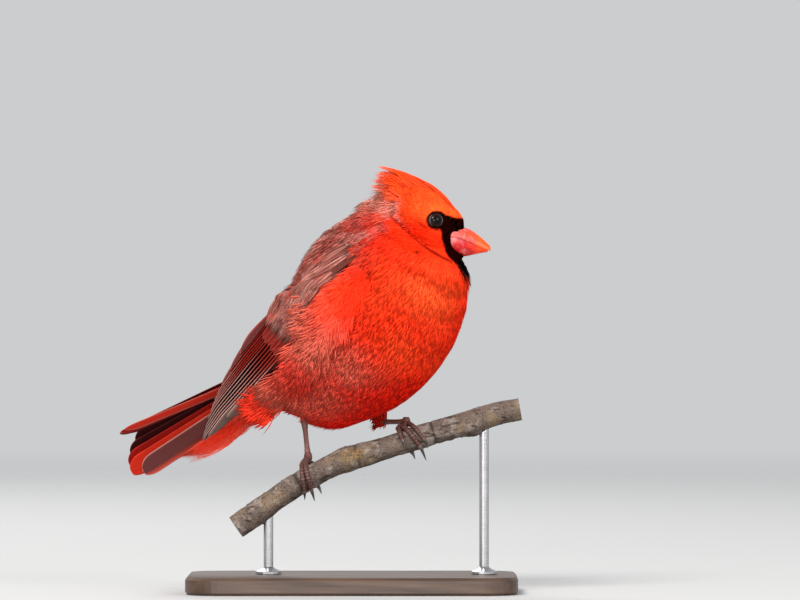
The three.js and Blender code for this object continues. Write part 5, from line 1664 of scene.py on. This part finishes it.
def lidRing(side, rows=72, columns=16):
    # a small circle carried round the looking axis, almond shaped: flatter above and below, with a thin
    # pale inner rim
    at, out, across, above = eyeAxes(side)
    b = np.linspace(0, 2 * math.pi, rows, endpoint=False)[:, None]
    c = np.linspace(0, 2 * math.pi, columns, endpoint=False)[None, :]
    squash = 0.93 + 0.07 * np.abs(np.cos(b)) ** 1.5
    ring = np.cos(b)[..., None] * across + (np.sin(b) * 0.95)[..., None] * above
    wrinkle = 1 + 0.08 * np.sin(26 * b) * (np.cos(c) > 0)
    radius = eyes["ring"] * squash + eyes["tube"] * wrinkle * np.cos(c)
    depth = np.sqrt(eyes["radius"] ** 2 - eyes["ring"] ** 2) - 0.1
    depth = depth + 0.75 * eyes["tube"] * np.sin(c) - 0.5 * eyes["tube"] * np.cos(c)
    grid = at + radius[..., None] * ring + depth[..., None] * out
    points = grid.reshape(-1, 3)
    faces = gridFaces(rows + 1, columns) % (rows * columns)
    inner = ease(-np.cos(c), 0.1, 0.7) * ease(np.sin(c), -0.4, 0.4)
    inner = np.broadcast_to(inner, grid.shape[:2]).reshape(-1)
    tones = mixed(linear(eyes["lid"]) + np.zeros((len(points), 3)), linear(eyes["rim"]), inner)
    return points, faces, tones


def eyeFinish():
    # dark and wet
    finish = Finish("eye_wet", Roughness=0.04, Specular_IOR_Level=0.0, Coat_Weight=0.35, Coat_IOR=1.38)
    return finish.out(Base_Color=finish.tone())


def lidFinish():
    # the painted colour, darker in fine grains
    finish = Finish("eyelid_skin", Roughness=0.6)
    fine = finish.noise(1800, 3.0)
    colour = finish.mix(0.4 * fine, finish.tone(), (0.02, 0.015, 0.02))
    return finish.out(Base_Color=colour, Normal=finish.bumpFrom(fine, 0.4, 0.0002))


eyeLook, lidLook = eyeFinish(), lidFinish()
for side, sideName in ((-1, "right"), (1, "left")):
    points, faces, tones = eyeBall(side)
    made = newPiece("eyeball_" + sideName, points, faces, eyeLook, tones)
    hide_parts("eye_" + sideName)
    points, faces, tones = lidRing(side)
    newPiece("eyelids_" + sideName, points, faces, lidLook, tones)


def chinBristles(count=46):
    # stiff black hairs that stand forward and down from the chin and the bill's corners
    box = ((11.5, 17), (-5, 5), (-21, -16.5))
    start = onHead(*(chance.uniform(low, high, count) for low, high in box))
    way = unit(face * chance.uniform(0.3, 1.0, (count, 1)) - up * chance.uniform(0.35, 0.9, (count, 1))
               + headLeft * chance.normal(0, 0.3, (count, 1)))
    t = np.linspace(0, 1, 6)[None, :, None]
    length = chance.uniform(2.5, 5.0, (count, 1, 1))
    path = (start[:, None] + way[:, None] * length * t - up * 0.8 * t**2)[:, None]
    tone = np.zeros((count, 1, 3)) + ink["mask"]
    normal = np.broadcast_to(headLeft, path.shape)
    plumes("bristles_chin", path, normal, 0.16, tone, tone, headLook)


chinBristles()
print("eyes")


branch = {
    "radius": 5.4, "rows": 420, "columns": 96,
    "line": [[-52.7, 29.5], [-41.8, 37], [-30.9, 45], [-18.2, 52.7], [-3.6, 59.8], [7.3, 63],
             [21.8, 67.5], [34.5, 71.6], [50.9, 76.4], [67.3, 81.4], [76.4, 83]],
    "bark": (102, 88, 80), "dark": (48, 37, 31), "pale": (150, 140, 132), "lichen": (126, 96, 56),
    "wood": (196, 168, 130),
    "speckle": [(0.36, (0.42, 0.38, 0.36)), (0.50, (1.0, 1.0, 1.0)), (0.66, (1.28, 1.26, 1.24))],
}


def branchLine(each=40):
    # centripetal Catmull-Rom through the branch's points: one cubic per span, whole spans at a time
    p = np.array([[x, 0, z] for x, z in branch["line"]], float)
    p = np.concatenate([2 * p[:1] - p[1:2], p, 2 * p[-1:] - p[-2:-1]])
    a, b, c, d = p[:-3], p[1:-2], p[2:-1], p[3:]
    da, db, dc = (np.sqrt(np.linalg.norm(v, axis=1))[:, None] for v in (b - a, c - b, d - c))
    m1 = ((b - a) / da - (c - a) / (da + db) + (c - b) / db) * db
    m2 = ((c - b) / db - (d - b) / (db + dc) + (d - c) / dc) * db
    t = np.linspace(0, 1, each, endpoint=False)[None, :, None]
    b, c, m1, m2 = (v[:, None] for v in (b, c, m1, m2))
    span = (2 * t**3 - 3 * t**2 + 1) * b + (t**3 - 2 * t**2 + t) * m1
    span = span + (3 * t**2 - 2 * t**3) * c + (t**3 - t**2) * m2
    return np.concatenate([span.reshape(-1, 3), p[-2:-1]])


branchPath = branchLine()
branchReach = np.concatenate([[0], np.cumsum(np.linalg.norm(np.diff(branchPath, axis=0), axis=1))])
branchLength = branchReach[-1]
branchAlong = unit(np.gradient(branchPath, axis=0))


def branchDistance(x):
    # how far along the branch the point with this x is
    return np.interp(x, branchPath[:, 0], branchReach)


def onBranch(distance, angle, radius):
    # angle runs from the top of the branch towards -Y
    distance, angle, radius = np.broadcast_arrays(np.asarray(distance, float), angle, radius)
    at = np.stack([np.interp(distance, branchReach, branchPath[:, c]) for c in range(3)], -1)
    along = unit(np.stack([np.interp(distance, branchReach, branchAlong[:, c]) for c in range(3)], -1))
    above = np.stack([-along[..., 2], 0 * along[..., 0], along[..., 0]], -1)
    out = above * np.cos(angle)[..., None] - np.array([0, 1.0, 0]) * np.sin(angle)[..., None]
    return at + out * radius[..., None]


def barkRadius(distance, angle):
    # the solids' radius: slow swells, a knot below and two rings
    lower = 0.5 - 0.5 * np.cos(angle)
    slow = 0.16 * np.sin(distance * 0.21 + 0.6) + 0.12 * np.sin(2 * angle + distance * 0.13)
    knot = 1.5 * bump(distance, branchDistance(54), 4) * lower
    ring = 0.45 * bump(distance, branchDistance(-3), 3.5) + 0.35 * bump(distance, branchDistance(-41), 4)
    return branch["radius"] + slow + knot + ring


def branchBark():
    # the solids' radius less a little, with long cracks, warts and scars from layered noise
    distance = np.linspace(0, branchLength, branch["rows"])[:, None]
    angle = np.linspace(0, 2 * math.pi, branch["columns"], endpoint=False)[None, :]
    distance, angle = np.broadcast_arrays(distance, angle)
    plain = onBranch(distance, angle, barkRadius(distance, angle))
    flat = plain.reshape(-1, 3)
    coarse = patches(flat, 3.1, 41) + 0.5 * patches(flat, 1.3, 42)
    fine = patches(flat, 0.6, 43)
    crack = patches(np.stack([flat[:, 0] * 0.32, flat[:, 1], flat[:, 2]], -1), 1.15, 44)
    wart = ease(patches(flat, 1.9, 45), 0.8, 0.95)
    shape = distance.shape
    rough = 0.28 * (coarse - 0.75) + 0.12 * (fine - 0.5) - 0.3 * ease(crack, 0.74, 0.9) + 0.3 * wart
    scar = bump(distance, branchDistance(-24), 1.0)
    scar = scar + bump(distance, branchDistance(2.6), 0.8) * (0.6 + 0.4 * np.sin(angle))
    scar = scar + bump(distance, branchDistance(37), 0.7)
    radius = barkRadius(distance, angle) - 0.1 + rough.reshape(shape) - 0.25 * scar
    grid = onBranch(distance, angle, radius)
    paler = ease(coarse, 0.7, 1.15).reshape(shape) * 0.7
    tone = mixed(linear(branch["bark"]) + np.zeros(shape + (3,)), linear(branch["pale"]), paler)
    tone = mixed(tone, linear(branch["dark"]), ease(crack, 0.66, 0.86).reshape(shape) * 0.75)
    speck = ease(patches(flat, 0.8, 46), 0.72, 0.86).reshape(shape)
    tone = mixed(tone, linear(branch["dark"]), 0.6 * speck)
    tone = mixed(tone, linear(branch["dark"]) * 0.6, np.clip(0.8 * scar, 0, 0.85))
    turned = (angle - math.pi / 2 + 0.25) / 0.62
    spot = np.sqrt(((distance - branchDistance(0.5)) / 5.6) ** 2 + turned**2)
    spot = 1 - ease(spot + 0.5 * (patches(flat, 1.2, 47).reshape(shape) - 0.5), 0.8, 1.05)
    crust = ease(patches(flat, 0.55, 48), 0.35, 0.6).reshape(shape)
    tone = mixed(tone, linear(branch["lichen"]), 0.85 * spot * crust)
    tone = mixed(tone, linear(branch["dark"]), 0.7 * spot * (1 - crust))
    brown = ease(patches(flat, 6.0, 49), 0.5, 0.85).reshape(shape)
    tone = mixed(tone, linear(branch["wood"]) * 0.45, 0.45 * brown)
    # darker towards the underside: painted shade
    tone = tone * (1 - 0.25 * ease(-np.cos(angle), 0.1, 1.0))[..., None]
    points, faces = closedTube(grid)
    end = linear(branch["wood"])[None]
    return points, faces, np.clip(np.concatenate([tone.reshape(-1, 3), end, end]), 0, 1)


def barkFinish():
    # the painted colour, darker in the grain and speckled
    finish = Finish("bark", Roughness=0.9, Specular_IOR_Level=0.2)
    grain = finish.noise(420, 6.0, 0.65)
    fine = finish.noise(1500, 4.0, 0.7)
    speckle = finish.ramp(fine, *branch["speckle"])
    fleck = finish.node("ShaderNodeTexVoronoi", {}, {"Vector": finish.place(), "Scale": 900.0})
    colour = finish.mix(0.45 * grain, finish.tone(), (0.20, 0.15, 0.13), "MULTIPLY")
    colour = finish.mix(0.9, colour, speckle, "MULTIPLY")
    height = grain + 0.3 * fleck + 0.4 * fine
    return finish.out(Base_Color=colour, Normal=finish.bumpFrom(height, 0.7, 0.0006))


points, faces, tones = branchBark()
made = newPiece("perch_bark", points, faces, barkFinish(), tones)
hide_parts("perch")
print("branch", len(faces), "faces")


feet = {
    "right": [  # toes: shift along the branch, angle round it in degrees, radius, claw
        [[1.0, -4.6], [18, 134], 1.15, [0.1, 0.8, -3.6]], [[2.3, -1.3], [22, 140], 1.3, [1.5, 0.9, -5.2]],
        [[1.8, 6.6], [4, -70], 1.1, [0.8, 1.6, -4.2]], [[0.4, 2.2], [-30, -146], 1.25, [1.6, -1.2, -3.4]],
    ],
    "left": [
        [[-1.6, -1.4], [18, 82], 1.15, [1.5, -0.5, -4.6]], [[0.9, 5.4], [16, 124], 1.3, [2.9, 0.6, -6.6]],
        [[3.8, 8.2], [6, 104], 1.15, [1.7, 0.3, -4.2]], [[0.2, 0.9], [-30, -146], 1.25, [1.5, -0.8, -3.2]],
    ],
    "skin": (84, 38, 30), "pad": (134, 86, 72), "dark": (34, 12, 10), "claw": (30, 24, 26),
    "clawRoot": (84, 66, 62), "hub": [[1.2], [1.75], [1.9], [1.8], [0.9]],
    "nodes": ["inner", "middle", "outer", "hallux"],
}


def smoothPath(keys, count):
    # a monotone cubic for each coordinate, by the points' number
    keys = np.asarray(keys, float)
    s, t = np.arange(len(keys)), np.linspace(0, len(keys) - 1, count)
    return np.stack([smoothCurve(s, keys[:, c])(t) for c in range(keys.shape[1])], -1)


def toePart(hub, toe):
    # three pads along a spiral round the branch, with a ripple of scales; then the claw's curved cone
    shift, turns, radius, claw = toe
    start = branchDistance(hub[0])
    t = np.linspace(0, 1, 6)
    distance = start + shift[0] + (shift[1] - shift[0]) * t
    angle = np.radians(turns[0] + (turns[1] - turns[0]) * t)
    size = radius * (1 - 0.28 * t) + 0.12 * np.cos(6 * math.pi * t)
    keys = onBranch(distance, angle, barkRadius(distance, angle) + size + 0.5)
    keys = np.concatenate([[hub + (keys[0] - hub) * (0.15 + 0.1 * radius)], keys])
    size = np.concatenate([[radius * 1.15], size])
    path = smoothPath(keys, 60)
    radii = smoothPath(size[:, None], 60)[:, 0]
    along = np.linspace(0, 1, 60)
    scale = 0.5 - 0.5 * np.sin(2 * math.pi * 13 * along)
    joints = bump(along, 0.34, 0.05) + bump(along, 0.66, 0.05)
    tip = np.sqrt(np.clip(1 - (np.maximum(along - 0.95, 0) / 0.056) ** 2, 0.05, 1))
    radii = radii * (1.05 - 0.10 * scale + 0.12 * joints) * tip
    points, faces = tubeAlong(path, radii, 16)
    tone = mixed(linear(feet["skin"]) + np.zeros((60, 3)), linear(feet["dark"]), 0.85 * scale)
    tone = mixed(tone, linear(feet["pad"]), 0.6 * ease(1 - scale, 0.55, 1.0))
    tones = np.concatenate([np.repeat(tone, 16, 0), tone[:1], tone[-1:]])
    tones = mixed(tones, linear(feet["dark"]), 0.5 * patches(points, 1.0, 53))
    reach = np.array(claw, float)
    k = np.linspace(0, 1, 24)[:, None]
    root = path[-2] + unit(path[-1] - path[-3]) * -0.3
    hook = root + reach * k * 1.06 + up * 0.45 * np.sin(math.pi * k)
    spike = radius / 1.2 * (0.92 * (1 - k[:, 0]) ** 0.75 + 0.05)
    clawPoints, clawFaces = tubeAlong(hook, spike, 14)
    clawTone = np.tile(linear(feet["clawRoot"]), (24, 1))
    clawTone = mixed(clawTone, linear(feet["claw"]), ease(k[:, 0], 0.05, 0.4))
    clawTones = np.concatenate([np.repeat(clawTone, 14, 0), clawTone[:1], clawTone[-1:]])
    return (points, faces, tones), (clawPoints, clawFaces, clawTones)


def legPart(leg):
    # the shank: thick joints at each end, plates of scale down its front
    heel, hub = np.array(leg["heel"], float), np.array(leg["hub"], float)
    t = np.linspace(0, 1, 70)
    radii = smoothCurve([0, 0.12, 0.3, 0.6, 0.88, 1], [1.75, 1.5, 1.15, 1.1, 1.4, 1.9])(t)
    path = heel + (hub - heel) * t[:, None]
    plates = 0.5 - 0.5 * np.cos(2 * math.pi * 8 * t)
    points, faces = tubeAlong(path, radii * (1 + 0.035 * plates), 20)
    flat = points[:-2]
    between = np.repeat(1 - ease(plates, 0, 0.25), 20)
    tone = mixed(np.tile(linear(feet["skin"]), (len(flat), 1)), linear(feet["dark"]), 0.5 * between)
    tone = mixed(tone, linear(feet["pad"]), 0.55 * patches(flat, 2.2, 51))
    return points, faces, np.concatenate([tone, tone[:1], tone[-1:]])


def hubPart(hub):
    # a rounded lump where the toes meet
    keys = np.array([hub + up * 2.2, hub + up * 1.2, hub, hub - up * 1.2, hub - up * 2.0])
    points, faces = tubeAlong(smoothPath(keys, 20), smoothPath(feet["hub"], 20)[:, 0], 16)
    return points, faces, np.tile(linear(feet["skin"]), (len(points), 1))


def scaleFinish():
    # the painted colour, darker along the edges of small cells
    finish = Finish("leg_scales", Roughness=0.5)
    inputs = {"Vector": finish.place(), "Scale": 1300.0}
    cells = finish.node("ShaderNodeTexVoronoi", {"feature": "DISTANCE_TO_EDGE"}, inputs)
    edge = finish.node("ShaderNodeMapRange", {}, {0: cells, 1: 0.0, 2: 0.12, 3: 0.0, 4: 1.0})
    colour = finish.mix(0.5 * (1 - edge), finish.tone(), (0.03, 0.012, 0.01))
    return finish.out(Base_Color=colour, Normal=finish.bumpFrom(edge, 0.5, 0.0002))


def clawFinish():
    # the painted colour, with a grain
    finish = Finish("claw_horn", Roughness=0.35)
    grain = finish.noise(1200, 3.0, 0.6, (1, 1, 0.3))
    colour = finish.mix(0.3 * grain, finish.tone(), (0.10, 0.07, 0.07))
    return finish.out(Base_Color=colour, Normal=finish.bumpFrom(grain, 0.3, 0.0002))


def oneOf(name, parts, finish):
    # several painted parts as one piece
    parts = [turnedOut(part) for part in parts]
    points, faces = together(parts)
    return newPiece(name, points, faces, finish, np.concatenate([p[2] for p in parts]), turned=True)


scaleLook, hornLook = scaleFinish(), clawFinish()
for sideName in ("right", "left"):
    leg = thighs[sideName]
    hub = np.array(leg["hub"], float)
    pairs = [toePart(hub, toe) for toe in feet[sideName]]
    parts = [legPart(leg), hubPart(hub)] + [pair[0] for pair in pairs]
    made = oneOf("leg_" + sideName, parts, scaleLook)
    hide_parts("foot_" + sideName, "tarsus_" + sideName)
    made = oneOf("claws_" + sideName, [pair[1] for pair in pairs], hornLook)
    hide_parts(*[f"claw_{sideName}_{toe}" for toe in feet["nodes"]])
print("legs")


stand = {
    "grain": [(0.0, (0.040, 0.020, 0.011)), (0.55, (0.085, 0.044, 0.024)), (1.0, (0.052, 0.026, 0.014))],
    "steel": [(0.3, (0.36, 0.36, 0.37)), (0.7, (0.50, 0.50, 0.51))],
}


def woodFinish():
    # rings of a plank: noise stretched along the length, sharpened into grain
    finish = Finish("dark_wood")
    broad = finish.noise(28, 4.0, 0.55, (0.12, 1, 1))
    pores = finish.noise(900, 2.0, 0.5, (0.06, 1, 1))
    grain = finish.node("ShaderNodeMath", {"operation": "FRACT"}, {0: broad * 9.0})
    colour = finish.mix(0.5 * pores, finish.ramp(grain, *stand["grain"]), (0.02, 0.01, 0.006))
    normal = finish.bumpFrom(pores, 0.2, 0.0002)
    return finish.out(Base_Color=colour, Roughness=pores * 0.3 + 0.3, Normal=normal)


def steelFinish():
    # brushed round the rod: noise stretched across it
    finish = Finish("rod_steel", Metallic=1.0)
    brush = finish.noise(600, 3.0, 0.6, (0.2, 0.2, 6))
    tone = finish.ramp(brush, *stand["steel"])
    normal = finish.bumpFrom(brush, 0.12, 0.0001)
    return finish.out(Base_Color=tone, Roughness=brush * 0.3 + 0.18, Normal=normal)


woodLook, steelLook = woodFinish(), steelFinish()
dressed = {  # the finish's name for every node but the stand's, by the start of the node's name
    "torso": "skin_under_the_coat", "neck": "skin_under_the_coat", "head": "skin_under_the_coat",
    "thigh": "skin_under_the_coat", "perch": "bark", "wing_right": "feathers_right_vanes",
    "wing_left": "feathers_left_vanes", "tail": "tail_vanes", "crest": "crest_feathers", "eye": "eye_wet",
    "bill_upper": "bill_upper_horn", "bill_lower": "bill_lower_horn", "claw": "claw_horn",
    "foot": "leg_scales", "tarsus": "leg_scales",
}
looks = {start: bpy.data.materials[own] for start, own in dressed.items()}
looks.update({"stand_base": woodLook, "stand_rod": steelLook})
for name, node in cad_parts.items():
    own = next(look for start, look in looks.items() if name.startswith(start))
    for place in node.material_slots:
        place.material = own
print("stand")
